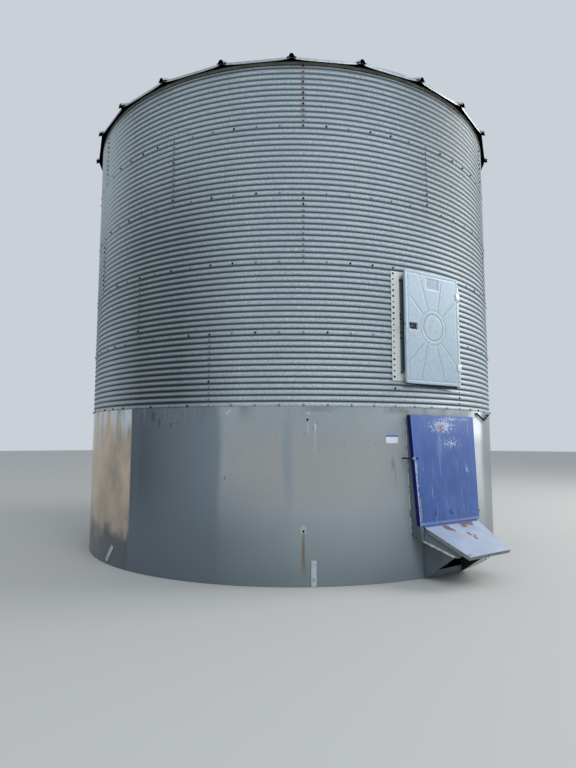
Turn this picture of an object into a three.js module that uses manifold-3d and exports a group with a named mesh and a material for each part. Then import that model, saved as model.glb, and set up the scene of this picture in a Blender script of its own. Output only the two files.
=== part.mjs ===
import * as THREE from 'three';
import { mergeVertices } from 'three/addons/utils/BufferGeometryUtils.js';
import Module from 'manifold-3d';

// Grain silo: a flat-bottomed bin with a smooth steel skirt, five rings of
// corrugated sheets, a ribbed conical roof, an upper door and a ground-level
// housing with a leaning door and a chute lid.
// Millimetres, +Z up. The origin is on the bin's axis at ground level.
// An angle of 0 faces -Y and angles grow towards +X, anticlockwise from above.

// Driving dimensions of the shell
const WALL_RADIUS = 2920;
const SKIRT_HEIGHT = 1830;
const SKIRT_THICKNESS = 4;
const RING_COVER = 762;
const RING_COUNT = 5;
const CORRUGATION_DEPTH = 13;
const TOP_EDGE_EXTRA = 5;
const SEAM_STRIP = 24;
const SEAM_STRIP_STEP = 4;
const FACETS_PER_TURN = 72;
const SEAM_GAP = 0.3;
const SHEET_ANGLE = 60;
const FIRST_SEAM = -32.8;
const BOLT_STEP = 5;
const FLOOR_THICKNESS = 5;

// Driving dimensions of the roof
const GORE_ANGLE = 15;
const FIRST_RIB = 9.7;
const EAVE_APOTHEM = 2970;
const EAVE_TOP = 5625;
const ROOF_SLOPE = THREE.MathUtils.degToRad(28);
const ROOF_SHEET = 4;
const EAVE_LIP = 28;
const RIB_TIP_RADIUS = 3031;
const RIB_BASE = 80;
const RIB_TOP = 40;
const RIB_HEIGHT = 38;
const COLLAR_RADIUS = 400;
const COLLAR_HEIGHT = 150;
const CAP_RADIUS = 450;
const CAP_RISE = 130;
const CAP_RIM = 20;

// Driving dimensions of the upper door, in its own frame: across, outward, up
const UPPER_DOOR_ANGLE = FIRST_SEAM + 6 * BOLT_STEP;
const UPPER_FRAME_HALF = 542;
const UPPER_OPENING_HALF = 385;
const UPPER_OPENING_LOW = 2140;
const UPPER_OPENING_HIGH = 3280;
const UPPER_FRAME_MARGIN = 36;
const UPPER_JAMB_FRONT = 2948;
const UPPER_JAMB = 15;
const UPPER_FRAME_SWEEP = 15;
const UPPER_LEAF_HALF = 422;
const UPPER_LEAF_LOW = 2078;
const UPPER_LEAF_HIGH = 3343;
const UPPER_LEAF_THICKNESS = 24;

// Driving dimensions of the ground-level housing, in its own frame
const HOUSING_ANGLE = 0;
const DOOR_TOP = { half: 535, out: 2955, up: 1737 };
const DOOR_FOOT = { half: 495, out: 3030, up: 572 };
const DOOR_SHEET = 4;
const DOOR_FLANGE = 50;
const DOOR_TOP_FLANGE = 22;
const DOOR_FOOT_FLANGE = 11;
const SIDE_INSET = 19;
const PLATE = 4;
const DOORWAY_HALF = 420;
const DOORWAY_SILL = 60;
const DOORWAY_HEAD = 1620;
const BOOT_HALF = 318;
const HINGE_BACKSET = 56;
const HINGE_OUTSET = 12;
const LID_HINGE = { out: 3043.3, up: 547.6 };
const LID_HINGE_DROP = 6;
const LID_ROD_RADIUS = 4;
const LID_SLOPE = THREE.MathUtils.degToRad(26.3);
const LID_LENGTH = 522;
const LID_INNER_HALF = 445;
const LID_OUTER_HALF = 335;
const LID_FLANGE = 38;
const FLANGE_LINE = { wallUp: 476, frontUp: 416 };

const WALL_TOP = SKIRT_HEIGHT + RING_COUNT * RING_COVER + TOP_EDGE_EXTRA;
const WALL_OUTSIDE = WALL_RADIUS + CORRUGATION_DEPTH / 2;
const WALL_INSIDE = WALL_RADIUS - CORRUGATION_DEPTH / 2;
const SKIRT_OUTSIDE = WALL_RADIUS;
const SKIRT_INSIDE = WALL_RADIUS - SKIRT_THICKNESS;

// Reach of the blocks that cut through a wall or the roof, beyond either face
const WALL_CUT = { inner: 2600, outer: 3150 };
const ROOF_CUT = { low: 5000, high: 8000, reach: 3400 };
const SPARE = 50;
const INTO_WALL = 40;

const wasm = await Module();
wasm.setup();

const rad = THREE.MathUtils.degToRad;

// Materials
function paint(colour, roughness, metalness) {
  return new THREE.MeshStandardMaterial({ color: colour, roughness, metalness });
}
const galvanised = paint(0x8d9aa2, 0.45, 0.7);
const skirtPaint = paint(0x7d898d, 0.3, 0.2);
const roofSteel = paint(0x9aa4a8, 0.5, 0.7);
const doorBlue = paint(0x3f5c9c, 0.5, 0.1);
const lidPaint = paint(0xa9b4cf, 0.5, 0.1);
const upperDoorSteel = paint(0xa5b9cc, 0.5, 0.4);
const darkSteel = paint(0x2c2e30, 0.6, 0.5);
const plateWhite = paint(0xdfe6ec, 0.5, 0.0);

// Closed meshes from shared corners
function solidFromParts(vertices, triangles) {
  const geometry = new THREE.BufferGeometry();
  geometry.setAttribute('position', new THREE.Float32BufferAttribute(vertices.flat(), 3));
  geometry.setIndex(triangles.flat());
  return geometry;
}

function toManifold(geometry) {
  const bare = geometry.clone();
  bare.deleteAttribute('normal');
  bare.deleteAttribute('uv');
  const merged = mergeVertices(bare, 1e-3);
  return new wasm.Manifold(new wasm.Mesh({
    numProp: 3,
    vertProperties: new Float32Array(merged.attributes.position.array),
    triVerts: new Uint32Array(merged.index.array),
  }));
}

function toGeometry(manifold) {
  const mesh = manifold.getMesh();
  const geometry = new THREE.BufferGeometry();
  const corners = Float32Array.from(mesh.vertProperties);
  geometry.setAttribute('position', new THREE.BufferAttribute(corners, 3));
  geometry.setIndex(new THREE.BufferAttribute(Uint32Array.from(mesh.triVerts), 1));
  return geometry;
}

function joined(...geometries) {
  const solids = geometries.map(toManifold);
  return toGeometry(solids.slice(1).reduce((whole, piece) => whole.add(piece), solids[0]));
}

function cut(geometry, ...tools) {
  const solid = toManifold(geometry);
  return toGeometry(tools.reduce((left, tool) => left.subtract(toManifold(tool)), solid));
}

function facetSteps(span, facetAngle = 360 / FACETS_PER_TURN) {
  return Math.max(1, Math.round(span / facetAngle));
}

// A profile of (radius, height) points, anticlockwise, swept about the axis
function sweptAbout(points, startAngle, endAngle, facetAngle) {
  const profile = anticlockwise(points);
  const span = endAngle - startAngle;
  const steps = facetSteps(span, facetAngle);
  const count = profile.length;
  const vertices = [];
  for (let step = 0; step <= steps; step += 1) {
    const angle = rad(startAngle + span * step / steps);
    for (const [radius, height] of profile) {
      vertices.push([radius * Math.sin(angle), -radius * Math.cos(angle), height]);
    }
  }
  const triangles = [];
  for (let step = 0; step < steps; step += 1) {
    for (let index = 0; index < count; index += 1) {
      const next = (index + 1) % count;
      const a = step * count + index;
      const b = step * count + next;
      triangles.push([a, b, b + count], [a, b + count, a + count]);
    }
  }
  const outline = profile.map(([radius, height]) => new THREE.Vector2(radius, height));
  const last = steps * count;
  for (const [a, b, c] of THREE.ShapeUtils.triangulateShape(outline, [])) {
    triangles.push([a, c, b], [a + last, b + last, c + last]);
  }
  return outwardFacing(solidFromParts(vertices, triangles));
}

// A closed mesh whose volume comes out negative is turned to face outwards
function outwardFacing(geometry) {
  const position = geometry.attributes.position;
  const index = geometry.index.array;
  const a = new THREE.Vector3();
  const b = new THREE.Vector3();
  const c = new THREE.Vector3();
  let volume = 0;
  for (let start = 0; start < index.length; start += 3) {
    a.fromBufferAttribute(position, index[start]);
    b.fromBufferAttribute(position, index[start + 1]);
    c.fromBufferAttribute(position, index[start + 2]);
    volume += a.dot(b.cross(c));
  }
  if (volume < 0) {
    for (let start = 0; start < index.length; start += 3) {
      [index[start + 1], index[start + 2]] = [index[start + 2], index[start + 1]];
    }
  }
  return geometry;
}

// Outlines run anticlockwise, as the triangulation of their end faces does
function anticlockwise(outline) {
  const flat = outline.map(([x, y]) => new THREE.Vector2(x, y));
  return THREE.ShapeUtils.area(flat) < 0 ? [...outline].reverse() : outline;
}

// A flat outline carried along by two functions that place its near and far faces
function slab(points, near, far) {
  const outline = anticlockwise(points);
  const flat = outline.map(([x, y]) => new THREE.Vector2(x, y));
  const faces = THREE.ShapeUtils.triangulateShape(flat, []);
  const count = outline.length;
  const vertices = [...outline.map(near), ...outline.map(far)];
  const triangles = [];
  for (const [a, b, c] of faces) {
    triangles.push([a, c, b], [a + count, b + count, c + count]);
  }
  for (let index = 0; index < count; index += 1) {
    const next = (index + 1) % count;
    triangles.push([index, next, next + count], [index, next + count, index + count]);
  }
  return outwardFacing(solidFromParts(vertices, triangles));
}

// A point of a door's own frame: across, outward and up
function local(across, out, up) {
  return [across, -out, up];
}

function box(acrossLow, acrossHigh, outLow, outHigh, low, high) {
  const geometry = new THREE.BoxGeometry(acrossHigh - acrossLow, outHigh - outLow, high - low);
  geometry.translate((acrossLow + acrossHigh) / 2, -(outLow + outHigh) / 2, (low + high) / 2);
  return geometry;
}

function turned(geometry, angle) {
  return geometry.clone().rotateZ(rad(angle));
}

const silo = new THREE.Group();

function addNode(parent, name, geometry, material) {
  const mesh = new THREE.Mesh(geometry, material);
  mesh.name = name;
  parent.add(mesh);
  return mesh;
}

// Floor: a flat steel plate inside the skirt
function angleAcross(across) {
  return THREE.MathUtils.radToDeg(Math.asin(across / SKIRT_OUTSIDE));
}
const doorwayLeft = HOUSING_ANGLE - angleAcross(DOORWAY_HALF);
const doorwayRight = HOUSING_ANGLE + angleAcross(DOORWAY_HALF);
const bootLeft = HOUSING_ANGLE - angleAcross(BOOT_HALF - PLATE);
const bootRight = HOUSING_ANGLE + angleAcross(BOOT_HALF - PLATE);
const skirtCorners = [FIRST_SEAM, doorwayLeft, bootLeft, bootRight, doorwayRight];
for (let sheet = 1; sheet < 6; sheet += 1) {
  skirtCorners.push(FIRST_SEAM + sheet * SHEET_ANGLE);
}
skirtCorners.push(FIRST_SEAM + 360);

function floorOutline(radius) {
  const outline = [];
  for (let corner = 1; corner < skirtCorners.length; corner += 1) {
    const start = skirtCorners[corner - 1];
    const span = skirtCorners[corner] - start;
    const steps = facetSteps(span);
    for (let step = 0; step < steps; step += 1) {
      const angle = rad(start + span * step / steps);
      outline.push([radius * Math.sin(angle), -radius * Math.cos(angle)]);
    }
  }
  return outline;
}
const floorPlate = slab(
  floorOutline(SKIRT_INSIDE - SEAM_GAP),
  ([x, y]) => [x, y, 0],
  ([x, y]) => [x, y, FLOOR_THICKNESS],
);
addNode(silo, 'floor_plate', floorPlate, skirtPaint);

// Skirt: smooth sheets, with anchor lugs welded to their feet. Under the
// housing the doorway is only as wide as the boot, down to a low sill.
const LUG_WIDTH = 55;
const LUG_HEIGHT = 258;
const LUG_THICKNESS = 8;
const LUG_ANGLES = [-30.8, 20.6, 72.1, 123.5, 174.9, 226.3, 277.8];

function anchorLug(angle) {
  const inner = SKIRT_INSIDE + 1;
  const outer = SKIRT_OUTSIDE + LUG_THICKNESS;
  return turned(box(-LUG_WIDTH / 2, LUG_WIDTH / 2, inner, outer, 0, LUG_HEIGHT), angle);
}

function skirtSheet(startAngle, endAngle, low, high) {
  const profile = [
    [SKIRT_INSIDE, low],
    [SKIRT_OUTSIDE, low],
    [SKIRT_OUTSIDE, high],
    [SKIRT_INSIDE, high],
  ];
  const sheet = sweptAbout(profile, startAngle + 0.003, endAngle - 0.003);
  const lugs = LUG_ANGLES.filter((angle) => angle > startAngle && angle < endAngle);
  if (low > 0 || lugs.length === 0) {
    return sheet;
  }
  return joined(sheet, ...lugs.map(anchorLug));
}

const skirtTop = SKIRT_HEIGHT - SEAM_GAP;
const SILL_TOP = FLANGE_LINE.wallUp;
const skirtSheets = [
  ['skirt_left_of_doorway', FIRST_SEAM, doorwayLeft, 0, skirtTop],
  ['skirt_right_of_doorway', doorwayRight, FIRST_SEAM + SHEET_ANGLE, 0, skirtTop],
  ['skirt_over_doorway', doorwayLeft, doorwayRight, DOORWAY_HEAD, skirtTop],
  ['skirt_beside_boot_left', doorwayLeft, bootLeft, 0, SILL_TOP],
  ['skirt_beside_boot_right', bootRight, doorwayRight, 0, SILL_TOP],
  ['skirt_sill', bootLeft, bootRight, 0, DOORWAY_SILL],
  ['skirt_right_sheets', FIRST_SEAM + SHEET_ANGLE, FIRST_SEAM + 3 * SHEET_ANGLE, 0, skirtTop],
  ['skirt_back_sheets', FIRST_SEAM + 3 * SHEET_ANGLE, FIRST_SEAM + 5 * SHEET_ANGLE, 0, skirtTop],
  ['skirt_left_sheet', FIRST_SEAM + 5 * SHEET_ANGLE, FIRST_SEAM + 360, 0, skirtTop],
];
for (const [name, start, end, low, high] of skirtSheets) {
  addNode(silo, name, skirtSheet(start, end, low, high), skirtPaint);
}

// Hook for the open door: a black rod bent to a V, on two short feet
const HOOK = { left: 15.2, middle: 20.3, right: 25.4, high: 1786, low: 1712, radius: 8, reach: 24 };
const HOOK_KNOB = 1.2;
const HOOK_FOOT = 1.3;

function rodBetween(from, to, radius) {
  const start = new THREE.Vector3(...from);
  const end = new THREE.Vector3(...to);
  const length = start.distanceTo(end);
  const rod = new THREE.CylinderGeometry(radius, radius, length, 8);
  const along = end.clone().sub(start).normalize();
  const turn = new THREE.Quaternion().setFromUnitVectors(new THREE.Vector3(0, 1, 0), along);
  return rod.applyQuaternion(turn).translate(...start.add(end).multiplyScalar(0.5).toArray());
}

function aroundWall(angle, out, up) {
  return [out * Math.sin(rad(angle)), -out * Math.cos(rad(angle)), up];
}

function doorHook() {
  const proud = SKIRT_OUTSIDE + HOOK.reach;
  const left = aroundWall(HOOK.left, proud, HOOK.high);
  const middle = aroundWall(HOOK.middle, proud, HOOK.low);
  const right = aroundWall(HOOK.right, proud, HOOK.high);
  const knob = new THREE.SphereGeometry(HOOK.radius * HOOK_KNOB, 10, 8).translate(...middle);
  const feet = [HOOK.left, HOOK.right].map((angle) => rodBetween(
    aroundWall(angle, SKIRT_INSIDE - INTO_WALL, HOOK.high),
    aroundWall(angle, proud + HOOK.radius, HOOK.high),
    HOOK.radius * HOOK_FOOT,
  ));
  const bars = [rodBetween(left, middle, HOOK.radius), rodBetween(middle, right, HOOK.radius)];
  return cut(joined(...bars, knob, ...feet), skirtSpace(0));
}
addNode(silo, 'door_hook', doorHook(), darkSteel);

// Corrugated rings: two nodes of three lapped sheets each, seams staggered
const RING_SEAM_STEPS = [8, 4, 0, 6, 0];
const upperDoorway = turned(
  box(
    -UPPER_OPENING_HALF, UPPER_OPENING_HALF, WALL_CUT.inner, WALL_CUT.outer,
    UPPER_OPENING_LOW, UPPER_OPENING_HIGH,
  ),
  UPPER_DOOR_ANGLE,
);

function ringSheets(ring, startAngle, endAngle) {
  const low = SKIRT_HEIGHT + ring * RING_COVER;
  const isTop = ring === RING_COUNT - 1;
  const high = isTop ? WALL_TOP : low + RING_COVER - SEAM_GAP;
  const profile = [
    [WALL_INSIDE, low],
    [WALL_OUTSIDE, low],
    [WALL_OUTSIDE, high - SEAM_STRIP],
    [WALL_OUTSIDE - SEAM_STRIP_STEP, high - SEAM_STRIP],
    [WALL_OUTSIDE - SEAM_STRIP_STEP, high],
    [WALL_INSIDE, high],
  ];
  return sweptAbout(profile, startAngle + 0.003, endAngle - 0.003);
}

for (let ring = 0; ring < RING_COUNT; ring += 1) {
  const seam = FIRST_SEAM + RING_SEAM_STEPS[ring] * BOLT_STEP;
  const low = SKIRT_HEIGHT + ring * RING_COVER;
  const high = low + RING_COVER;
  for (const [side, start] of [['a', seam - 180], ['b', seam]]) {
    let geometry = ringSheets(ring, start, start + 180);
    const meetsDoor = low < UPPER_OPENING_HIGH && high > UPPER_OPENING_LOW;
    const insideSpan = start < UPPER_DOOR_ANGLE && start + 180 > UPPER_DOOR_ANGLE;
    if (meetsDoor && insideSpan) {
      geometry = cut(geometry, upperDoorway);
    }
    addNode(silo, `wall_ring_${ring + 1}_${side}`, geometry, galvanised);
  }
}

// Roof: six nodes of four gores each, with a trapezoid rib on every seam
const halfGore = rad(GORE_ANGLE / 2);
const UNDER_COLLAR = 40;
const GORE_INNER = COLLAR_RADIUS - UNDER_COLLAR;

function roofTopAt(apothem) {
  return EAVE_TOP + (EAVE_APOTHEM - apothem) * Math.tan(ROOF_SLOPE);
}

function wedge(startAngle, endAngle, shrink) {
  const { low, high, reach } = ROOF_CUT;
  const steps = Math.round((endAngle - startAngle) / GORE_ANGLE);
  const outline = [];
  const middle = rad((startAngle + endAngle) / 2);
  const push = shrink / Math.sin(rad((endAngle - startAngle) / 2));
  const apex = [push * Math.sin(middle), -push * Math.cos(middle)];
  outline.push(apex);
  for (let step = 0; step <= steps; step += 1) {
    const angle = rad(startAngle + step * (endAngle - startAngle) / steps);
    outline.push([apex[0] + reach * Math.sin(angle), apex[1] - reach * Math.cos(angle)]);
  }
  return slab(outline, ([x, y]) => [x, y, low], ([x, y]) => [x, y, high]);
}

// Four gores side by side: a profile at a gore's middle, swept from rib to rib
function goreSheets(startAngle) {
  const drop = ROOF_SHEET / Math.cos(ROOF_SLOPE);
  const inner = GORE_INNER;
  const lipBack = EAVE_APOTHEM - ROOF_SHEET;
  const profile = [
    [EAVE_APOTHEM, EAVE_TOP],
    [inner, roofTopAt(inner)],
    [inner, roofTopAt(inner) - drop],
    [lipBack, roofTopAt(lipBack) - drop],
    [lipBack, EAVE_TOP - EAVE_LIP],
    [EAVE_APOTHEM, EAVE_TOP - EAVE_LIP],
  ];
  const atRibs = profile.map(([apothem, height]) => [apothem / Math.cos(halfGore), height]);
  return sweptAbout(atRibs, startAngle, startAngle + 4 * GORE_ANGLE, GORE_ANGLE);
}

function roofRib(angle) {
  const section = [
    [-RIB_BASE / 2, -ROOF_SHEET],
    [RIB_BASE / 2, -ROOF_SHEET],
    [RIB_TOP / 2, RIB_HEIGHT],
    [-RIB_TOP / 2, RIB_HEIGHT],
  ];
  const end = (radius) => ([across, up]) => {
    const seamTop = roofTopAt(radius * Math.cos(halfGore));
    return local(across, radius, seamTop + up);
  };
  return turned(slab(section, end(GORE_INNER), end(RIB_TIP_RADIUS)), angle);
}

for (let sector = 0; sector < 6; sector += 1) {
  const start = FIRST_RIB + sector * 4 * GORE_ANGLE;
  let roof = toManifold(goreSheets(start));
  for (let rib = 0; rib <= 4; rib += 1) {
    roof = roof.add(toManifold(roofRib(start + rib * GORE_ANGLE)));
  }
  roof = roof.intersect(toManifold(wedge(start, start + 4 * GORE_ANGLE, SEAM_GAP / 2)));
  addNode(silo, `roof_sheets_${sector + 1}`, toGeometry(roof), roofSteel);
}

// Peak: a round collar over the upper ends of the gores, and a fill cap on it
const COLLAR_WALL = 20;
const ROUND_FACETS = 24;
const collarInside = COLLAR_RADIUS - COLLAR_WALL;
const collarFlat = collarInside * Math.cos(halfGore);
const collarLow = roofTopAt(collarFlat * Math.cos(halfGore)) + RIB_HEIGHT + SEAM_GAP;
const collarProfile = [
  [collarInside, collarLow],
  [COLLAR_RADIUS, collarLow],
  [COLLAR_RADIUS, collarLow + COLLAR_HEIGHT],
  [collarInside, collarLow + COLLAR_HEIGHT],
];
const collar = new THREE.LatheGeometry(
  [...collarProfile, collarProfile[0]].map(([radius, height]) => new THREE.Vector2(radius, height)),
  ROUND_FACETS,
).rotateX(Math.PI / 2);
addNode(silo, 'peak_collar', mergeVertices(bareCopy(collar), 1e-3), roofSteel);

function bareCopy(geometry) {
  const bare = geometry.clone();
  bare.deleteAttribute('normal');
  bare.deleteAttribute('uv');
  return bare;
}

const capBase = collarLow + COLLAR_HEIGHT + SEAM_GAP;
const capProfile = [
  [0, capBase],
  [CAP_RADIUS, capBase],
  [CAP_RADIUS, capBase + CAP_RIM],
  [0, capBase + CAP_RISE],
];
const cap = new THREE.LatheGeometry(
  capProfile.map(([radius, height]) => new THREE.Vector2(radius, height)),
  ROUND_FACETS,
).rotateX(Math.PI / 2);
addNode(silo, 'fill_cap', mergeVertices(bareCopy(cap), 1e-3), roofSteel);

// Roof hatch: a low lid on one gore, next to the eave
const HATCH = {
  angle: FIRST_RIB - 1.5 * GORE_ANGLE,
  half: 285,
  taper: 0.84,
  low: 2400,
  high: 2880,
  thickness: 45,
  clear: 0.5,
};

function onRoof([across, apothem], rise) {
  return local(across, apothem, roofTopAt(apothem) + rise);
}
const hatchOutline = [
  [-HATCH.half, HATCH.high],
  [HATCH.half, HATCH.high],
  [HATCH.half * HATCH.taper, HATCH.low],
  [-HATCH.half * HATCH.taper, HATCH.low],
];
const hatch = slab(
  hatchOutline,
  (point) => onRoof(point, HATCH.clear),
  (point) => onRoof(point, HATCH.clear + HATCH.thickness),
);
addNode(silo, 'roof_hatch', turned(hatch, HATCH.angle), roofSteel);

// Upper door: a folded frame bolted over the sheets, and a flat pressed leaf
const upperDoor = new THREE.Group();
upperDoor.rotation.z = rad(UPPER_DOOR_ANGLE);
silo.add(upperDoor);

function upperFrame() {
  const low = UPPER_OPENING_LOW - UPPER_FRAME_MARGIN;
  const high = UPPER_OPENING_HIGH + UPPER_FRAME_MARGIN;
  const inside = WALL_OUTSIDE + SEAM_GAP;
  const bent = sweptAbout(
    [[inside, low], [inside + PLATE, low], [inside + PLATE, high], [inside, high]],
    -UPPER_FRAME_SWEEP,
    UPPER_FRAME_SWEEP,
  );
  const trim = box(
    -UPPER_FRAME_HALF, UPPER_FRAME_HALF, WALL_CUT.inner, WALL_CUT.outer, low - 1, high + 1,
  );
  const flange = toManifold(bent).intersect(toManifold(trim));
  const jambHalf = UPPER_OPENING_HALF + UPPER_JAMB;
  const jambs = box(
    -jambHalf, jambHalf, WALL_CUT.inner + SPARE, UPPER_JAMB_FRONT,
    UPPER_OPENING_LOW - UPPER_JAMB, UPPER_OPENING_HIGH + UPPER_JAMB,
  );
  const wallProfile = [
    [WALL_RADIUS / 2, low - SPARE],
    [inside, low - SPARE],
    [inside, high + SPARE],
    [WALL_RADIUS / 2, high + SPARE],
  ];
  const solidWall = sweptAbout(wallProfile, -UPPER_FRAME_SWEEP, UPPER_FRAME_SWEEP);
  const hole = box(
    -UPPER_OPENING_HALF, UPPER_OPENING_HALF, WALL_CUT.inner, WALL_CUT.outer,
    UPPER_OPENING_LOW, UPPER_OPENING_HIGH,
  );
  const rim = toManifold(jambs).subtract(toManifold(solidWall));
  return toGeometry(flange.add(rim).subtract(toManifold(hole)));
}
addNode(upperDoor, 'upper_door_frame', upperFrame(), galvanised);

const leafBack = UPPER_JAMB_FRONT + SEAM_GAP;
const leafFront = leafBack + UPPER_LEAF_THICKNESS;
const upperLeaf = box(
  -UPPER_LEAF_HALF, UPPER_LEAF_HALF, leafBack, leafFront, UPPER_LEAF_LOW, UPPER_LEAF_HIGH,
);
addNode(upperDoor, 'upper_door_leaf', upperLeaf, upperDoorSteel);

// Its hinges: a knuckle beside the leaf, a strap on the leaf and a foot on the wall
const UPPER_HINGE = {
  heights: [2240, 3078],
  length: 110,
  width: 34,
  backset: 4,
  strapLength: 50,
  strapOverlap: 10,
  strapInset: 15,
  strapThickness: 6,
  foldDepth: 10,
  footWidth: 14,
  footBack: 2899,
};
for (const [index, low] of UPPER_HINGE.heights.entries()) {
  const high = low + UPPER_HINGE.length;
  const edge = UPPER_LEAF_HALF + UPPER_HINGE.width;
  const strapEnd = UPPER_LEAF_HALF + UPPER_HINGE.strapOverlap;
  const strapFront = leafFront + UPPER_HINGE.strapThickness;
  const knuckle = box(
    UPPER_LEAF_HALF + SEAM_GAP, edge, leafBack, leafFront - UPPER_HINGE.backset, low, high,
  );
  const strap = box(
    strapEnd - UPPER_HINGE.strapLength, strapEnd, leafFront + SEAM_GAP, strapFront,
    low + UPPER_HINGE.strapInset, high - UPPER_HINGE.strapInset,
  );
  const fold = box(
    strapEnd - UPPER_HINGE.strapThickness, edge - UPPER_HINGE.footWidth,
    leafFront - UPPER_HINGE.foldDepth, strapFront,
    low + UPPER_HINGE.strapInset, high - UPPER_HINGE.strapInset,
  );
  const foot = box(
    edge - UPPER_HINGE.footWidth, edge, UPPER_HINGE.footBack,
    leafBack + UPPER_HINGE.strapThickness, low, high,
  );
  addNode(
    upperDoor, `upper_door_hinge_${index + 1}`, joined(knuckle, strap, fold, foot), galvanised,
  );
}

const UPPER_LATCH = { up: 2722, length: 62, height: 26, thickness: 10, backset: 4 };
const latchBack = leafBack - UPPER_LATCH.backset;
const upperLatch = box(
  -UPPER_LEAF_HALF - UPPER_LATCH.length, -UPPER_LEAF_HALF - SEAM_GAP,
  latchBack, latchBack + UPPER_LATCH.thickness,
  UPPER_LATCH.up - UPPER_LATCH.height / 2, UPPER_LATCH.up + UPPER_LATCH.height / 2,
);
addNode(upperDoor, 'upper_door_latch', upperLatch, darkSteel);

// Ground-level housing
const housing = new THREE.Group();
housing.rotation.z = rad(HOUSING_ANGLE);
silo.add(housing);

const doorRun = DOOR_TOP.up - DOOR_FOOT.up;
const outSlope = (DOOR_TOP.out - DOOR_FOOT.out) / doorRun;
const halfSlope = (DOOR_TOP.half - DOOR_FOOT.half) / doorRun;

function doorFaceAt(up) {
  return DOOR_FOOT.out + outSlope * (up - DOOR_FOOT.up);
}

function doorHalfAt(up) {
  return DOOR_FOOT.half + halfSlope * (up - DOOR_FOOT.up);
}

// Housing sides: plates from the wall to the door, turned inwards at the front
const SIDE_TOP = 1722;
const SIDE_FRONT_GAP = 12;
const SIDE_RETURN = 46;

function sideHalfAt(up) {
  return doorHalfAt(up) - SIDE_INSET;
}

function wallOutAt(across) {
  return Math.sqrt(SKIRT_OUTSIDE ** 2 - across ** 2);
}

function frontAt(up) {
  return doorFaceAt(up) - DOOR_SHEET - SIDE_FRONT_GAP;
}

const PAN = {
  start: wallOutAt(sideHalfAt(FLANGE_LINE.frontUp)) - INTO_WALL,
  end: frontAt(FLANGE_LINE.frontUp),
};

function panUpAt(out) {
  const share = (out - PAN.start) / (PAN.end - PAN.start);
  return FLANGE_LINE.wallUp + share * (FLANGE_LINE.frontUp - FLANGE_LINE.wallUp);
}

function housingSide(hand) {
  const low = FLANGE_LINE.frontUp;
  const wallTop = wallOutAt(sideHalfAt(SIDE_TOP)) - INTO_WALL;
  const wallLow = PAN.start;
  const outline = [
    [wallLow, FLANGE_LINE.wallUp],
    [frontAt(low), low],
    [frontAt(SIDE_TOP), SIDE_TOP],
    [wallTop, SIDE_TOP],
  ];
  const plate = slab(
    outline,
    ([out, up]) => local(hand * sideHalfAt(up), out, up),
    ([out, up]) => local(hand * (sideHalfAt(up) - PLATE), out, up),
  );
  const returnOutline = [[0, low], [SIDE_RETURN, low], [SIDE_RETURN, SIDE_TOP], [0, SIDE_TOP]];
  const inwards = slab(
    returnOutline,
    ([inset, up]) => local(hand * (sideHalfAt(up) - inset), frontAt(up), up),
    ([inset, up]) => local(hand * (sideHalfAt(up) - inset), frontAt(up) - PLATE, up),
  );
  const panOutline = [
    [BOOT_HALF - PLATE, wallLow],
    [sideHalfAt(low) - PLATE / 2, wallLow],
    [sideHalfAt(low) - PLATE / 2, frontAt(low)],
    [BOOT_HALF - PLATE, frontAt(low)],
  ];
  const pan = slab(
    panOutline,
    ([across, out]) => local(hand * across, out, panUpAt(out)),
    ([across, out]) => local(hand * across, out, panUpAt(out) + PLATE),
  );
  return cut(joined(plate, inwards, pan), skirtSpace(HOUSING_ANGLE));
}

// The space that the skirt and its inside take up, for plates that stop at it
function skirtSpace(frameAngle) {
  const profile = [
    [WALL_RADIUS / 2, -SPARE],
    [SKIRT_OUTSIDE + SEAM_GAP, -SPARE],
    [SKIRT_OUTSIDE + SEAM_GAP, SKIRT_HEIGHT + SPARE],
    [WALL_RADIUS / 2, SKIRT_HEIGHT + SPARE],
  ];
  const spans = [
    [FIRST_SEAM, doorwayLeft],
    [doorwayLeft, bootLeft],
    [bootLeft, bootRight],
    [bootRight, doorwayRight],
    [doorwayRight, FIRST_SEAM + SHEET_ANGLE],
  ];
  const sweeps = spans.map(([start, end]) => sweptAbout(profile, start, end));
  return turned(joined(...sweeps), -frameAngle);
}

addNode(housing, 'housing_side_left', housingSide(-1), skirtPaint);
addNode(housing, 'housing_side_right', housingSide(1), skirtPaint);

// Chute hood: plates under the lid that close in towards its outer edge
const HOOD_START_HALF = 432;
const HOOD_END = { half: 335, out: 3375, up: 288 };
const HOOD_TIP_OUT = 3440;
const HOOD_FLANGE = 22;
const LID_REST_GAP = 8;
const HOOD_HEEL = 20;
const EYE_DROP = 24;
const hoodFront = frontAt(FLANGE_LINE.frontUp);

function hoodHalfAt(out) {
  const share = (out - hoodFront) / (HOOD_END.out - hoodFront);
  return HOOD_START_HALF + share * (HOOD_END.half - HOOD_START_HALF);
}

function lidUndersideAt(out) {
  const overHinge = LID_HINGE.up + LID_HINGE_DROP / Math.cos(LID_SLOPE);
  return overHinge - (out - LID_HINGE.out) * Math.tan(LID_SLOPE);
}

function flangeUpAt(out) {
  const share = (out - hoodFront) / (HOOD_END.out - hoodFront);
  return FLANGE_LINE.frontUp + share * (HOOD_END.up - FLANGE_LINE.frontUp);
}

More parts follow.
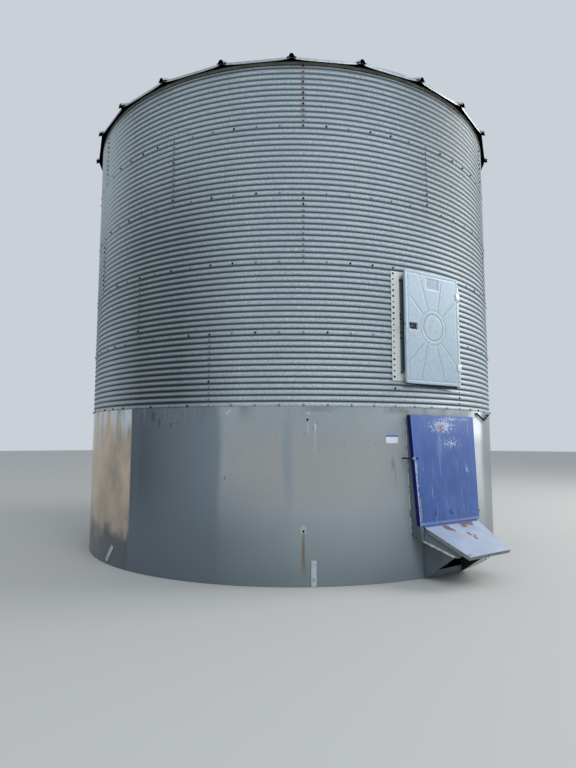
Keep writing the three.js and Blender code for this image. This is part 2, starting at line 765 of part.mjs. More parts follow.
function hoodSide(hand) {
  const start = hoodFront + SEAM_GAP;
  const heel = LID_HINGE.out + HOOD_HEEL;
  const outline = [
    [start, flangeUpAt(start)],
    [HOOD_END.out, HOOD_END.up],
    [HOOD_TIP_OUT, lidUndersideAt(HOOD_TIP_OUT) - LID_REST_GAP],
    [heel, lidUndersideAt(heel) - LID_REST_GAP],
    [start, lidUndersideAt(heel) - LID_REST_GAP],
  ];
  const plate = slab(
    outline,
    ([out, up]) => local(hand * hoodHalfAt(out), out, up),
    ([out, up]) => local(hand * (hoodHalfAt(out) - PLATE), out, up),
  );
  const flangeEnd = HOOD_END.out - 10;
  const flangeOutline = [
    [BOOT_HALF - PLATE, start],
    [hoodHalfAt(start) + HOOD_FLANGE, start],
    [hoodHalfAt(flangeEnd) + HOOD_FLANGE, flangeEnd],
    [BOOT_HALF - PLATE, flangeEnd],
  ];
  const flange = slab(
    flangeOutline,
    ([across, out]) => local(hand * across, out, flangeUpAt(out) + PLATE),
    ([across, out]) => local(hand * across, out, flangeUpAt(out)),
  );
  const eye = LID_ROD_RADIUS + 1;
  const eyeOutline = [
    [LID_HINGE.out - eye, LID_HINGE.up - EYE_DROP],
    [LID_HINGE.out + eye, LID_HINGE.up - EYE_DROP],
    [LID_HINGE.out + eye, LID_HINGE.up + eye / 2],
    [LID_HINGE.out + eye / 2, LID_HINGE.up + eye],
    [LID_HINGE.out - eye / 2, LID_HINGE.up + eye],
    [LID_HINGE.out - eye, LID_HINGE.up + eye / 2],
  ];
  const eyePlate = slab(
    eyeOutline,
    ([out, up]) => local(hand * hoodHalfAt(out), out, up),
    ([out, up]) => local(hand * (hoodHalfAt(out) - PLATE), out, up),
  );
  return joined(plate, flange, eyePlate);
}
addNode(housing, 'hood_side_left', hoodSide(-1), skirtPaint);
addNode(housing, 'hood_side_right', hoodSide(1), skirtPaint);

// Boot: two upright plates below the hood, undercut towards the wall
const BOOT_TOE_OUT = 2925;
const BOOT_NOSE_OUT = 3340;
function bootSide(hand) {
  const wall = wallOutAt(BOOT_HALF) - INTO_WALL;
  const under = (out) => flangeUpAt(out) - SEAM_GAP;
  const outline = [
    [wall, 0],
    [BOOT_TOE_OUT, 0],
    [BOOT_NOSE_OUT, under(BOOT_NOSE_OUT)],
    [hoodFront, under(hoodFront)],
    [wall, panUpAt(wall) - SEAM_GAP],
  ];
  const plate = slab(
    outline,
    ([out, up]) => local(hand * BOOT_HALF, out, up),
    ([out, up]) => local(hand * (BOOT_HALF - PLATE), out, up),
  );
  return cut(plate, skirtSpace(HOUSING_ANGLE));
}
addNode(housing, 'boot_side_left', bootSide(-1), skirtPaint);
addNode(housing, 'boot_side_right', bootSide(1), skirtPaint);

// Door: a leaning tray with flanges turned back, hinged on its right edge
const hingeTop = new THREE.Vector3(
  ...local(DOOR_TOP.half + HINGE_OUTSET, DOOR_TOP.out - HINGE_BACKSET, DOOR_TOP.up),
);
const hingeFoot = new THREE.Vector3(
  ...local(DOOR_FOOT.half + HINGE_OUTSET, DOOR_FOOT.out - HINGE_BACKSET, DOOR_FOOT.up),
);
const hingeLine = hingeTop.clone().sub(hingeFoot).normalize();
const HINGE_BARREL_RADIUS = 9;
const HINGE_BARREL_LENGTH = 60;
const HINGE_SHARES = [0.07, 0.88];
const BARREL_GAP = 0.5;
const BARREL_LEAF = { width: 20, depth: 10, inwards: 9, forwards: 4 };
const EAR = { reach: 260, thickness: 10 };

function alongHinge(geometry, share, lift) {
  const place = hingeFoot.clone().lerp(hingeTop, share).addScaledVector(hingeLine, lift);
  const turn = new THREE.Quaternion().setFromUnitVectors(new THREE.Vector3(0, 0, 1), hingeLine);
  return geometry.applyQuaternion(turn).translate(place.x, place.y, place.z);
}

function barrel(share) {
  const length = HINGE_BARREL_LENGTH;
  const round = new THREE.CylinderGeometry(HINGE_BARREL_RADIUS, HINGE_BARREL_RADIUS, length, 12);
  const leaf = new THREE.BoxGeometry(BARREL_LEAF.width, BARREL_LEAF.depth, length);
  leaf.translate(-BARREL_LEAF.inwards, -BARREL_LEAF.forwards, 0);
  return alongHinge(joined(round.rotateX(Math.PI / 2), leaf), share, 0);
}

function doorTray() {
  const corners = [
    [-1, DOOR_FOOT.up],
    [1, DOOR_FOOT.up],
    [1, DOOR_TOP.up],
    [-1, DOOR_TOP.up],
  ];
  const face = (depth) => ([side, up]) => local(side * doorHalfAt(up), doorFaceAt(up) - depth, up);
  const block = slab(corners, face(0), face(DOOR_FLANGE));
  const t = DOOR_SHEET;
  const hollowCorners = [
    [-1, DOOR_FOOT.up + t],
    [1, DOOR_FOOT.up + t],
    [1, DOOR_TOP.up - t],
    [-1, DOOR_TOP.up - t],
  ];
  const inner = (depth) => ([side, up]) => local(
    side * (doorHalfAt(up) - t), doorFaceAt(up) - depth, up,
  );
  const behind = inner(DOOR_FLANGE + SPARE);
  const hollow = slab(hollowCorners, inner(t), behind);
  const across = (low, high) => [[-1, low], [1, low], [1, high], [-1, high]];
  const topCut = slab(
    across(DOOR_TOP.up - 2 * t, DOOR_TOP.up + SPARE), inner(DOOR_TOP_FLANGE), behind,
  );
  const footCut = slab(
    across(DOOR_FOOT.up - SPARE, DOOR_FOOT.up + 2 * t), inner(DOOR_FOOT_FLANGE), behind,
  );
  return cut(block, hollow, topCut, footCut);
}

const EDGE_PIN = { up: 662, radius: 11, length: 26, depth: 14, sunk: 2 };

function edgePin() {
  const round = new THREE.CylinderGeometry(EDGE_PIN.radius, EDGE_PIN.radius, EDGE_PIN.length, 10);
  round.rotateZ(Math.PI / 2);
  const across = doorHalfAt(EDGE_PIN.up) + EDGE_PIN.length / 2 - EDGE_PIN.sunk;
  return round.translate(...local(across, doorFaceAt(EDGE_PIN.up) - EDGE_PIN.depth, EDGE_PIN.up));
}

const doorGeometry = joined(doorTray(), ...HINGE_SHARES.map(barrel), edgePin());
addNode(housing, 'housing_door', doorGeometry, doorBlue);

// Hinge ears: under each barrel, reaching from the wall to the hinge line
function hingeEar(share) {
  const lift = -HINGE_BARREL_LENGTH / 2 - BARREL_GAP - EAR.thickness / 2;
  const plate = new THREE.BoxGeometry(2 * HINGE_BARREL_RADIUS, EAR.reach, EAR.thickness);
  plate.translate(0, EAR.reach / 2 - HINGE_BARREL_RADIUS, 0);
  return cut(alongHinge(plate, share, lift), skirtSpace(HOUSING_ANGLE));
}
HINGE_SHARES.forEach((share, index) => {
  addNode(housing, `housing_door_ear_${index + 1}`, hingeEar(share), darkSteel);
});

// Hasp strap: bent round the door's left edge, with its bolt
const HASP = { up: 1275, height: 18, thickness: 5, onFace: 62, bend: 10, tip: 82, drop: 96 };

function haspStrap() {
  const t = HASP.thickness;
  const outline = [
    [HASP.onFace, SEAM_GAP],
    [HASP.onFace, SEAM_GAP + t],
    [-HASP.bend, SEAM_GAP + t],
    [-HASP.tip, -HASP.drop],
    [-HASP.tip + 4, -HASP.drop - 4],
    [-HASP.bend + 4, SEAM_GAP],
  ];
  const level = (up) => ([inwards, proud]) => local(
    inwards - doorHalfAt(up), doorFaceAt(up) + proud, up,
  );
  return slab(outline, level(HASP.up - HASP.height / 2), level(HASP.up + HASP.height / 2));
}
addNode(housing, 'hasp_strap', haspStrap(), darkSteel);

// Lid: a tapering tray hinged at its upper edge
const lidPlane = new THREE.Group();
lidPlane.position.set(...local(0, LID_HINGE.out, LID_HINGE.up));
lidPlane.rotation.x = LID_SLOPE;
housing.add(lidPlane);

const LID_SHEET = 4;
const LID_BARREL = { outside: 7, bore: 4.5, length: 90, across: [-300, 0, 300] };
const rodHalf = hoodHalfAt(LID_HINGE.out + LID_ROD_RADIUS) - PLATE - SEAM_GAP;

function crosswise(radius, half, middle) {
  const round = new THREE.CylinderGeometry(radius, radius, 2 * half, 12);
  return round.rotateZ(Math.PI / 2).translate(middle, 0, 0);
}
addNode(lidPlane, 'lid_hinge_rod', crosswise(LID_ROD_RADIUS, rodHalf, 0), darkSteel);

const LID_HEEL = { reach: 45, under: -8 };

function lidTray() {
  const outline = [
    [-LID_INNER_HALF, 0],
    [LID_INNER_HALF, 0],
    [LID_OUTER_HALF, LID_LENGTH],
    [-LID_OUTER_HALF, LID_LENGTH],
  ];
  const t = LID_SHEET;
  const taper = (LID_INNER_HALF - LID_OUTER_HALF) / LID_LENGTH;
  const innerOutline = [
    [-LID_INNER_HALF + t - SPARE * taper, -SPARE],
    [LID_INNER_HALF - t + SPARE * taper, -SPARE],
    [LID_OUTER_HALF - t, LID_LENGTH - t],
    [-LID_OUTER_HALF + t, LID_LENGTH - t],
  ];
  const top = LID_HINGE_DROP + LID_SHEET;
  const below = -LID_FLANGE - SPARE;
  const block = slab(
    outline, ([x, y]) => [x, -y, top], ([x, y]) => [x, -y, top - LID_FLANGE],
  );
  const hollow = slab(
    innerOutline, ([x, y]) => [x, -y, top - t], ([x, y]) => [x, -y, below],
  );
  const wide = LID_INNER_HALF + SPARE;
  const heel = box(-wide, wide, -SPARE, LID_HEEL.reach, below, LID_HEEL.under);
  const half = LID_BARREL.length / 2;
  const barrels = LID_BARREL.across.map((middle) => crosswise(LID_BARREL.outside, half, middle));
  const bores = LID_BARREL.across.map((middle) => crosswise(LID_BARREL.bore, half + 1, middle));
  return cut(joined(cut(block, hollow, heel), ...barrels), ...bores);
}
addNode(lidPlane, 'chute_lid', lidTray(), lidPaint);

// Bare number plate on the skirt
const NUMBER_PLATE = { angle: -13.7, low: 1432, high: 1520, half: 75, thickness: 2 };
const plateBlock = box(
  -NUMBER_PLATE.half, NUMBER_PLATE.half,
  SKIRT_OUTSIDE - INTO_WALL, SKIRT_OUTSIDE + SEAM_GAP + NUMBER_PLATE.thickness,
  NUMBER_PLATE.low, NUMBER_PLATE.high,
);
const numberPlate = cut(plateBlock, skirtSpace(NUMBER_PLATE.angle));
addNode(silo, 'number_plate', turned(numberPlate, NUMBER_PLATE.angle), plateWhite);

export default silo;
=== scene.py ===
import math
import random

import bmesh
import bpy
from mathutils import Matrix, Vector


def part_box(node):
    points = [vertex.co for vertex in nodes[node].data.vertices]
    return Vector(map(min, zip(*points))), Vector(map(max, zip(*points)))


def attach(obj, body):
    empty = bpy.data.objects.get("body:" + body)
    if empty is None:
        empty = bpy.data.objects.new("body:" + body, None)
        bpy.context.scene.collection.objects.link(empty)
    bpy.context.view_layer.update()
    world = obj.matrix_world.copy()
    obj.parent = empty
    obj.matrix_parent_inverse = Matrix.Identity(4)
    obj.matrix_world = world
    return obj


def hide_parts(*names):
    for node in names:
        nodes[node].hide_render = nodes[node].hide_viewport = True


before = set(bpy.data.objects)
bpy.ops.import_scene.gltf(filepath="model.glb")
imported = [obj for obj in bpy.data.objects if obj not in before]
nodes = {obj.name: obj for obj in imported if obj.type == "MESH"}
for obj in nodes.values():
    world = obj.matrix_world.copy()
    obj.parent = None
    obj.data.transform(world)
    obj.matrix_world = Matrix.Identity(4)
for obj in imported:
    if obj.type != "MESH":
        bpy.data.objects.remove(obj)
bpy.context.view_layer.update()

# The camera stands 8.5 m from the silo's axis, 1.49 m above the ground, to the
# left of the unloading housing, and looks slightly up
bpy.ops.object.select_all(action="DESELECT")
bpy.ops.object.camera_add(
    location=(-4.9139, -6.9401, 1.491),
    rotation=(math.radians(95.674), math.radians(-0.0806), math.radians(-34.961)),
)
camera = bpy.context.object
camera.name = "camera"
camera.data.sensor_fit = "VERTICAL"
camera.data.sensor_height = 36
camera.data.lens = 36 * 540 / 768
camera.data.clip_end = 300
bpy.context.scene.camera = camera
bpy.context.scene.view_settings.view_transform = "Standard"

# A pale floor and soft studio light: a wide key from the right, a fill from the
# camera's side and an even pale surround
bpy.ops.mesh.primitive_circle_add(vertices=64, radius=60, fill_type="NGON", location=(0, 0, -0.002))
floor = bpy.context.object
floor.name = "studio_floor"
floor_paint = bpy.data.materials.new("studio_floor")
floor_paint.use_nodes = True
floor_shader = floor_paint.node_tree.nodes["Principled BSDF"]
floor_shader.inputs["Base Color"].default_value = (0.50, 0.50, 0.48, 1)
floor_shader.inputs["Roughness"].default_value = 0.9
floor.data.materials.append(floor_paint)

surround = bpy.data.worlds.new("studio_surround")
bpy.context.scene.world = surround
surround.use_nodes = True
surround.node_tree.nodes["Background"].inputs["Color"].default_value = (0.84, 0.90, 0.98, 1)
surround.node_tree.nodes["Background"].inputs["Strength"].default_value = 0.70


def soft_light(name, place, target, size, watts, colour):
    bpy.ops.object.light_add(type="AREA", location=place)
    lamp = bpy.context.object
    lamp.name = name
    lamp.data.shape = "DISK"
    lamp.data.size = size
    lamp.data.energy = watts
    lamp.data.color = colour
    lamp.visible_camera = False
    aim = Vector(target) - Vector(place)
    lamp.rotation_euler = aim.to_track_quat("-Z", "Y").to_euler()


soft_light("key_light", (12, -8, 10), (0, 0, 3), 9, 1500, (1.0, 0.98, 0.95))
soft_light("fill_light", (-3, -14, 12), (0, 0, 3), 9, 900, (0.88, 0.94, 1.0))


# Wall sheets: galvanised steel rolled into corrugations 63.5 mm apart and
# 12.7 mm deep, six sheets to a ring, each ring lapped over the one below it
WALL_RADIUS = 2.920
SKIRT_TOP = 1.830
RING_COVER = 0.762
RINGS = 5
WAVES_PER_RING = 12
WAVE = RING_COVER / WAVES_PER_RING
WAVE_HEIGHT = 0.00635
SHEET_STEEL = 0.0012
LAP_BELOW = 0.013
LAP_LEAN = 0.0009
SHEET_ANGLE = 60
SIDE_LAP = 0.4
LAP_SWELL = 1.0008
FIRST_SEAM = -32.8
BOLT_STEP = 5
RING_SEAM_STEPS = [8, 4, 0, 6, 0]
UPPER_DOOR_ANGLE = FIRST_SEAM + 6 * BOLT_STEP
UPPER_OPENING = {"half": 0.385, "low": 2.140, "high": 3.280}


def around(angle, radius, height=0.0):
    """A point at an angle from the front, anticlockwise from above."""
    turn = math.radians(angle)
    return Vector((radius * math.sin(turn), -radius * math.cos(turn), height))


def free_hands():
    """Leaves edit mode and deselects everything."""
    if bpy.context.object and bpy.context.object.mode != "OBJECT":
        bpy.ops.object.mode_set(mode="OBJECT")
    bpy.ops.object.select_all(action="DESELECT")


def take(piece):
    free_hands()
    piece.select_set(True)
    bpy.context.view_layer.objects.active = piece
    return piece


def open_mesh(piece):
    take(piece)
    bpy.ops.object.mode_set(mode="EDIT")
    bpy.ops.mesh.select_mode(type="VERT")
    bpy.ops.mesh.select_all(action="SELECT")


def pick(kind, test):
    """Selects the open mesh's vertices, edges or faces whose middle passes the test."""
    bpy.ops.mesh.select_mode(type={"verts": "VERT", "edges": "EDGE", "faces": "FACE"}[kind])
    bpy.ops.mesh.select_all(action="DESELECT")
    shape = bmesh.from_edit_mesh(bpy.context.object.data)
    for part in getattr(shape, kind):
        if kind == "verts":
            middle, facing = part.co, part.normal
        elif kind == "edges":
            middle = (part.verts[0].co + part.verts[1].co) / 2
            facing = part.verts[1].co - part.verts[0].co
        else:
            middle, facing = part.calc_center_median(), part.normal
        if test(middle, facing):
            part.select_set(True)
    shape.select_flush_mode()
    bmesh.update_edit_mesh(bpy.context.object.data)


def apply_modifier(piece, kind, **settings):
    take(piece)
    modifier = piece.modifiers.new(kind.lower(), kind)
    for name, value in settings.items():
        setattr(modifier, name, value)
    bpy.ops.object.modifier_apply(modifier=modifier.name)


def place_mesh(piece):
    """Moves the object's place, turn and scale into its mesh."""
    take(piece)
    bpy.ops.object.transform_apply(location=True, rotation=True, scale=True)


def block(name, size, place, lean=0.0):
    """A box of a size, with its middle at a place, leaning about the X axis."""
    free_hands()
    bpy.ops.mesh.primitive_cube_add(size=1, location=place, rotation=(lean, 0, 0))
    piece = bpy.context.object
    piece.name = name
    piece.scale = size
    place_mesh(piece)
    return piece


def cut_away(piece, cutter):
    apply_modifier(piece, "BOOLEAN", operation="DIFFERENCE", object=cutter, solver="EXACT")


def put_away(*pieces):
    """Removes pieces that were modelled only to be copied or to cut with."""
    for piece in pieces:
        bpy.data.objects.remove(piece)


def copy_of(piece, name):
    twin = piece.copy()
    twin.data = piece.data.copy()
    twin.name = name
    bpy.context.scene.collection.objects.link(twin)
    return twin


def join_pieces(pieces, name):
    free_hands()
    for piece in pieces:
        piece.select_set(True)
    bpy.context.view_layer.objects.active = pieces[0]
    bpy.ops.object.join()
    joined = bpy.context.object
    joined.name = name
    return joined


def turn_about_axis(piece, angle, rise=0.0):
    piece.rotation_euler = (0, 0, math.radians(angle))
    piece.location = (0, 0, rise)
    place_mesh(piece)


def point_strip(name, points):
    """A chain of edges through the points, drawn by extruding one vertex."""
    free_hands()
    bpy.ops.mesh.primitive_plane_add(size=0.001, location=(0, 0, 0))
    piece = bpy.context.object
    piece.name = name
    open_mesh(piece)
    bpy.ops.mesh.merge(type="CENTER")
    bpy.ops.transform.translate(value=points[0])
    for here, there in zip(points, points[1:]):
        step = Vector(there) - Vector(here)
        bpy.ops.mesh.extrude_vertices_move(TRANSFORM_OT_translate={"value": step})
    return piece


def sweep_open_strip(start, end, steps):
    """Turns the open mesh about the silo's axis, from one angle to another."""
    bpy.ops.mesh.select_all(action="SELECT")
    turn = math.radians(start)
    bpy.ops.transform.rotate(value=-turn, orient_axis="Z", center_override=(0, 0, 0))
    bpy.ops.mesh.spin(steps=steps, angle=math.radians(start - end), center=(0, 0, 0), axis=(0, 0, 1))
    bpy.ops.mesh.select_all(action="SELECT")
    bpy.ops.mesh.remove_doubles(threshold=0.00005)


def from_axis(at):
    return Vector((at.x, at.y, 0))


def thicken(sheet, steel, aim=from_axis):
    """Turns a sheet's faces to the side that aim(place) points to, with its steel behind."""
    open_mesh(sheet)
    bpy.ops.mesh.normals_make_consistent(inside=False)
    shape = bmesh.from_edit_mesh(sheet.data)
    agreement = sum(face.normal.dot(aim(face.calc_center_median())) for face in shape.faces)
    if agreement < 0:
        bpy.ops.mesh.flip_normals()
    apply_modifier(sheet, "SOLIDIFY", thickness=steel, offset=-1)


def smooth_folds(piece, angle=35):
    take(piece)
    bpy.ops.object.shade_smooth_by_angle(angle=math.radians(angle))


def dress(piece, finishes, body="shell", stands_for=None):
    """Gives a piece its finishes, its body and the node it replaces."""
    piece.data.materials.clear()
    for finish_of_face in finishes:
        piece.data.materials.append(finish_of_face)
    if stands_for:
        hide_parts(stands_for)
    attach(piece, body)


wave_points = []
wave_steps = 8
for step in range(-2, WAVES_PER_RING * wave_steps + 3):
    height = step * WAVE / wave_steps
    if step == -2:
        height = -LAP_BELOW
    lean = LAP_LEAN * (1 - 2 * height / RING_COVER)
    radius = WALL_RADIUS + WAVE_HEIGHT * math.cos(2 * math.pi * height / WAVE) + lean
    wave_points.append((0, -radius, SKIRT_TOP + height))
first_sheet = point_strip("wall_sheet", wave_points)
sweep_open_strip(-SIDE_LAP, SHEET_ANGLE + SIDE_LAP, 30)
lapping_edge = SHEET_ANGLE + SIDE_LAP - 0.5
pick("verts", lambda at, facing: math.degrees(math.atan2(at.x, -at.y)) > lapping_edge)
bpy.ops.transform.resize(value=(LAP_SWELL, LAP_SWELL, 1), center_override=(0, 0, 0))
free_hands()
thicken(first_sheet, SHEET_STEEL)


def finish(name, metallic, roughness, specular=0.5):
    """A new metal or paint."""
    material = bpy.data.materials.new(name)
    material.use_nodes = True
    sockets = material.node_tree.nodes["Principled BSDF"].inputs
    sockets["Metallic"].default_value = metallic
    sockets["Roughness"].default_value = roughness
    sockets["Specular IOR Level"].default_value = specular
    return material


def feed(socket, value):
    """Links a value into a socket, or sets a number, a place or a colour there."""
    if isinstance(value, bpy.types.NodeSocket):
        socket.id_data.links.new(value, socket)
    elif socket.type == "RGBA":
        socket.default_value = (*value, 1)
    else:
        socket.default_value = value


def tree_of(*values):
    """The node tree of the first value that comes out of a node."""
    return next(value.id_data for value in values if isinstance(value, bpy.types.NodeSocket))


def node(tree, kind, *values, **settings):
    """Adds a node; values go into its first sockets, settings are properties or sockets."""
    added = tree.nodes.new("ShaderNode" + kind)
    fed = dict(enumerate(values))
    for name, value in settings.items():
        if hasattr(added, name):
            setattr(added, name, value)
        else:
            fed[name.title()] = value
    for socket, value in fed.items():
        feed(added.inputs[socket], value)
    return added


def place_of(material, stretch=(1, 1, 1), shift=(0, 0, 0), turn=0):
    """Object coordinates, stretched, shifted and turned about the upright axis."""
    tree = material.node_tree
    coordinates = node(tree, "TexCoord").outputs["Object"]
    return node(tree, "Mapping", coordinates, shift, (0, 0, math.radians(turn)), stretch).outputs[0]


def parts_of_place(material, turn=0):
    return node(material.node_tree, "SeparateXYZ", place_of(material, turn=turn)).outputs


def mottle(material, scale, stretch=(1, 1, 1), shift=(0, 0, 0), detail=3.0, rough=0.55):
    place = place_of(material, stretch, shift)
    noise = node(material.node_tree, "TexNoise", place, scale=scale, detail=detail, roughness=rough)
    return noise.outputs[0]


def between(value, low, high, to_low=0.0, to_high=1.0):
    """Maps a value's stretch from low to high onto another, held at its ends."""
    return node(value.id_data, "MapRange", value, low, high, to_low, to_high, clamp=True).outputs[0]


def spread(grain, to_low, to_high):
    """Maps a grain's usual values, 0.3 to 0.7, onto others."""
    return between(grain, 0.3, 0.7, to_low, to_high)


def calculate(operation, first, second=0.0):
    return node(tree_of(first, second), "Math", first, second, operation=operation).outputs[0]


def product(first, *others):
    for other in others:
        first = calculate("MULTIPLY", first, other)
    return first


def within(value, low, high, soft):
    """1 where the value lies between low and high, with soft edges."""
    rising = between(value, low - soft / 2, low + soft / 2)
    falling = between(value, high - soft / 2, high + soft / 2, 1, 0)
    return product(rising, falling)


def mixed(share, first, second):
    """Mixes two colours by a share."""
    mixer = node(tree_of(share, first, second), "Mix", data_type="RGBA")
    for index, value in ((0, share), (6, first), (7, second)):
        feed(mixer.inputs[index], value)
    return mixer.outputs[2]


def tint(colour, mask, share, paint):
    """Lays a paint over a colour, where the mask is."""
    return mixed(product(mask, share), colour, paint)


def two_tone(grain, dark, light, low=0.35, high=0.65):
    """Two colours, mixed by a grain."""
    return mixed(between(grain, low, high), dark, light)


def blotted(colour, grain, low, high, share, paint):
    """A colour with blots of a paint, up to a share, where the grain rises."""
    return mixed(between(grain, low, high, 0, share), colour, paint)


def coat(material, colour, roughness=None, height=None, depth=0.001):
    """Gives a finish its colour, its roughness and the height of its bumps."""
    sockets = material.node_tree.nodes["Principled BSDF"].inputs
    feed(sockets["Base Color"], colour)
    if roughness is not None:
        feed(sockets["Roughness"], roughness)
    if height is not None:
        bump = node(material.node_tree, "Bump", distance=depth)
        feed(bump.inputs["Height"], height)
        feed(sockets["Normal"], bump.outputs[0])


def angle_and_height(material):
    """The angle from the front in degrees, and the height, of a point of the silo."""
    across, out, height = parts_of_place(material)
    turn = calculate("ARCTAN2", across, calculate("MULTIPLY", out, -1.0))
    return calculate("DEGREES", turn), height


WALL_TOP = SKIRT_TOP + RINGS * RING_COVER
LIT_SLOPE_LEAN = 0.7

wall_steel = finish("wall_galvanising", 0.12, 0.52, specular=0.35)
wall_angle, wall_height = angle_and_height(wall_steel)
spangle = mottle(wall_steel, 62, detail=5, rough=0.65)
clouds = mottle(wall_steel, 1.3, (1, 1, 2.2))
streaks = mottle(wall_steel, 9, (1, 1, 0.08), detail=2)
# Painted light and shade on the corrugations: each crest and the slope above it are painted bright, as lit
# from above; each groove and the slope below it are painted dark, as shade and partly dirt; the grooves are
# painted lighter towards the top
wave_turn = calculate(
    "MULTIPLY",
    calculate("SUBTRACT", wall_height, SKIRT_TOP + LIT_SLOPE_LEAN * WAVE / (2 * math.pi)),
    2 * math.pi / WAVE,
)
wave_lean = calculate("COSINE", wave_turn)
crest = between(wave_lean, -0.92, -0.10)
bright = two_tone(spangle, (0.255, 0.305, 0.335), (0.53, 0.60, 0.64), 0.36, 0.64)
bright = blotted(bright, clouds, 0.35, 0.7, 0.35, (0.32, 0.38, 0.40))
bright = blotted(bright, streaks, 0.55, 0.75, 0.25, (0.50, 0.51, 0.49))
groove_dirt_and_shade = two_tone(wall_height, (0.042, 0.062, 0.068), (0.090, 0.130, 0.145), 2.1, 4.9)
groove_dirt_and_shade = blotted(groove_dirt_and_shade, spangle, 0.40, 0.60, 0.35, (0.020, 0.034, 0.034))
wall_colour = mixed(crest, groove_dirt_and_shade, bright)
# Painted shade over the upper right of the wall, more of it above and right of the upper door, and a little
# along the top ring
painted_shade_right = product(
    between(wall_angle, -13, 8), between(wall_angle, 150, 95), between(wall_height, 3.2, 4.6, 0.06, 0.32)
)
wall_colour = mixed(painted_shade_right, wall_colour, (0.030, 0.040, 0.045))
painted_shade_over_door = product(within(wall_angle, -5, 14, 14), between(wall_height, 3.2, 4.0, 0.0, 0.22))
wall_colour = mixed(painted_shade_over_door, wall_colour, (0.030, 0.040, 0.045))
painted_shade_top_ring = product(within(wall_angle, -31, 40, 4), between(wall_height, 4.9, 5.2, 0.0, 0.10))
wall_colour = mixed(painted_shade_top_ring, wall_colour, (0.030, 0.040, 0.045))
# Painted shade on the left of the wall, from -86 to -45 degrees, deepest high up and towards the grooves
painted_shade_left = product(
    between(wall_angle, -86, -72),
    between(wall_angle, -45, -60),
    between(wave_lean, -0.5, 0.7, 1.45, 0.75),
    calculate("ADD", between(wall_height, 3.7, 4.8, 0.45, 0.0), between(wall_height, 2.1, 3.5, 0.17, 0.0)),
)
wall_colour = mixed(painted_shade_left, wall_colour, (0.012, 0.020, 0.026))
# Painted sheen further round to the left, high up
painted_sheen_left = product(
    between(wall_angle, -76, -91), between(wall_angle, -150, -100), between(wall_height, 3.3, 4.8, 0.0, 0.60)
)
wall_colour = mixed(painted_sheen_left, wall_colour, (0.64, 0.72, 0.76))
# Painted shadow in a narrow dark band just under the eave angle
painted_shadow_under_eave = within(wall_height, 5.572, 5.592, 0.004)
wall_colour = tint(wall_colour, painted_shadow_under_eave, 0.9, (0.012, 0.013, 0.010))
rusty_seam = product(
    within(wall_angle, FIRST_SEAM - 0.55, FIRST_SEAM + 0.50, 0.6),
    within(wall_height, SKIRT_TOP + 4.1 * RING_COVER, WALL_TOP, 0.1),
    between(mottle(wall_steel, 30, (1, 1, 0.5)), 0.42, 0.6),
)
wall_colour = tint(wall_colour, rusty_seam, 0.6, (0.19, 0.115, 0.085))
coat(wall_steel, wall_colour, spread(spangle, 0.38, 0.58), spangle, 0.0004)

# The top ring ends under the roof, and the two lowest make way for the upper door
SHEETS_END = 5.612
CUTTER_DEPTH = 0.4
top_sheet = copy_of(first_sheet, "top_sheet")
cut_low = SHEETS_END - (RINGS - 1) * RING_COVER
eave_cutter = block("eave_cutter", (7, 7, CUTTER_DEPTH), (0, 0, cut_low + CUTTER_DEPTH / 2))
cut_away(top_sheet, eave_cutter)
opening_tall = UPPER_OPENING["high"] - UPPER_OPENING["low"]
opening_middle = (UPPER_OPENING["high"] + UPPER_OPENING["low"]) / 2
opening_size = (2 * UPPER_OPENING["half"], CUTTER_DEPTH, opening_tall)
doorway_cutter = block("doorway_cutter", opening_size, (0, -WALL_RADIUS, opening_middle))
turn_about_axis(doorway_cutter, UPPER_DOOR_ANGLE)
for ring, seam_steps in enumerate(RING_SEAM_STEPS):
    seam = FIRST_SEAM + seam_steps * BOLT_STEP
    for side, start in (("a", seam - 180), ("b", seam)):
        sheets = []
        for sheet in range(3):
            sheet_start = start + SHEET_ANGLE * sheet
            one = copy_of(top_sheet if ring == RINGS - 1 else first_sheet, f"sheet_{ring}_{side}_{sheet}")
            turn_about_axis(one, sheet_start, ring * RING_COVER)
            if ring < 2 and sheet_start < UPPER_DOOR_ANGLE < sheet_start + SHEET_ANGLE:
                cut_away(one, doorway_cutter)
            sheets.append(one)
        piece = join_pieces(sheets, f"corrugated_sheets_{ring + 1}_{side}")
        smooth_folds(piece)
        dress(piece, [wall_steel], stands_for=f"wall_ring_{ring + 1}_{side}")
put_away(first_sheet, top_sheet, eave_cutter, doorway_cutter)


# Wall bolts: hexagon heads on rubber washers, one on every crest of an upright
# lap and every 5 degrees along a level one. Most are zinc-plated; the dark ones
# are painted black, and on the top ring's far-left upright lap black also paints
# the shade that those bolts lie in
BRIGHT_BOLT = {"washer": 0.0115, "head": 0.0074}
DARK_BOLT = {"washer": 0.0125, "head": 0.0098}
CREST_RADIUS = WALL_RADIUS + WAVE_HEIGHT + LAP_LEAN
LAP_RADIUS = CREST_RADIUS + 0.0010
UPPER_FRAME = {"half_angle": 10.9, "low": 2.104, "high": 3.316}
BLACK_SHARE = 0.25
LONE_BOLT_ANGLE = -12.8
BLACK_ON_LEVEL_LAPS = [
    {-11, -10, -9, -7, -5, 9, 10},
    {-10, -5, -4, -2, 1},
    {-10, -8, -6, -4, -3, 2, 3, 4, 10},
    {-11, -9, -4, -2},
    {-10, -9, -8, -7, -3, 0, 1, 3, 4, 7, 8, 9, 10},
]
BLACK_ON_UPRIGHT_LAPS = {
    (0, 0): {2}, (1, 0): {3}, (2, 0): {10, 11}, (3, 0): {1, 3}, (4, 0): {4, 5, 6, 8, 11},
    (0, 5): {4}, (1, 5): {2}, (2, 5): {2, 3, 4, 6, 7, 9, 10}, (3, 5): {1, 8}, (4, 5): {2, 3, 4, 5, 7, 8, 9},
}


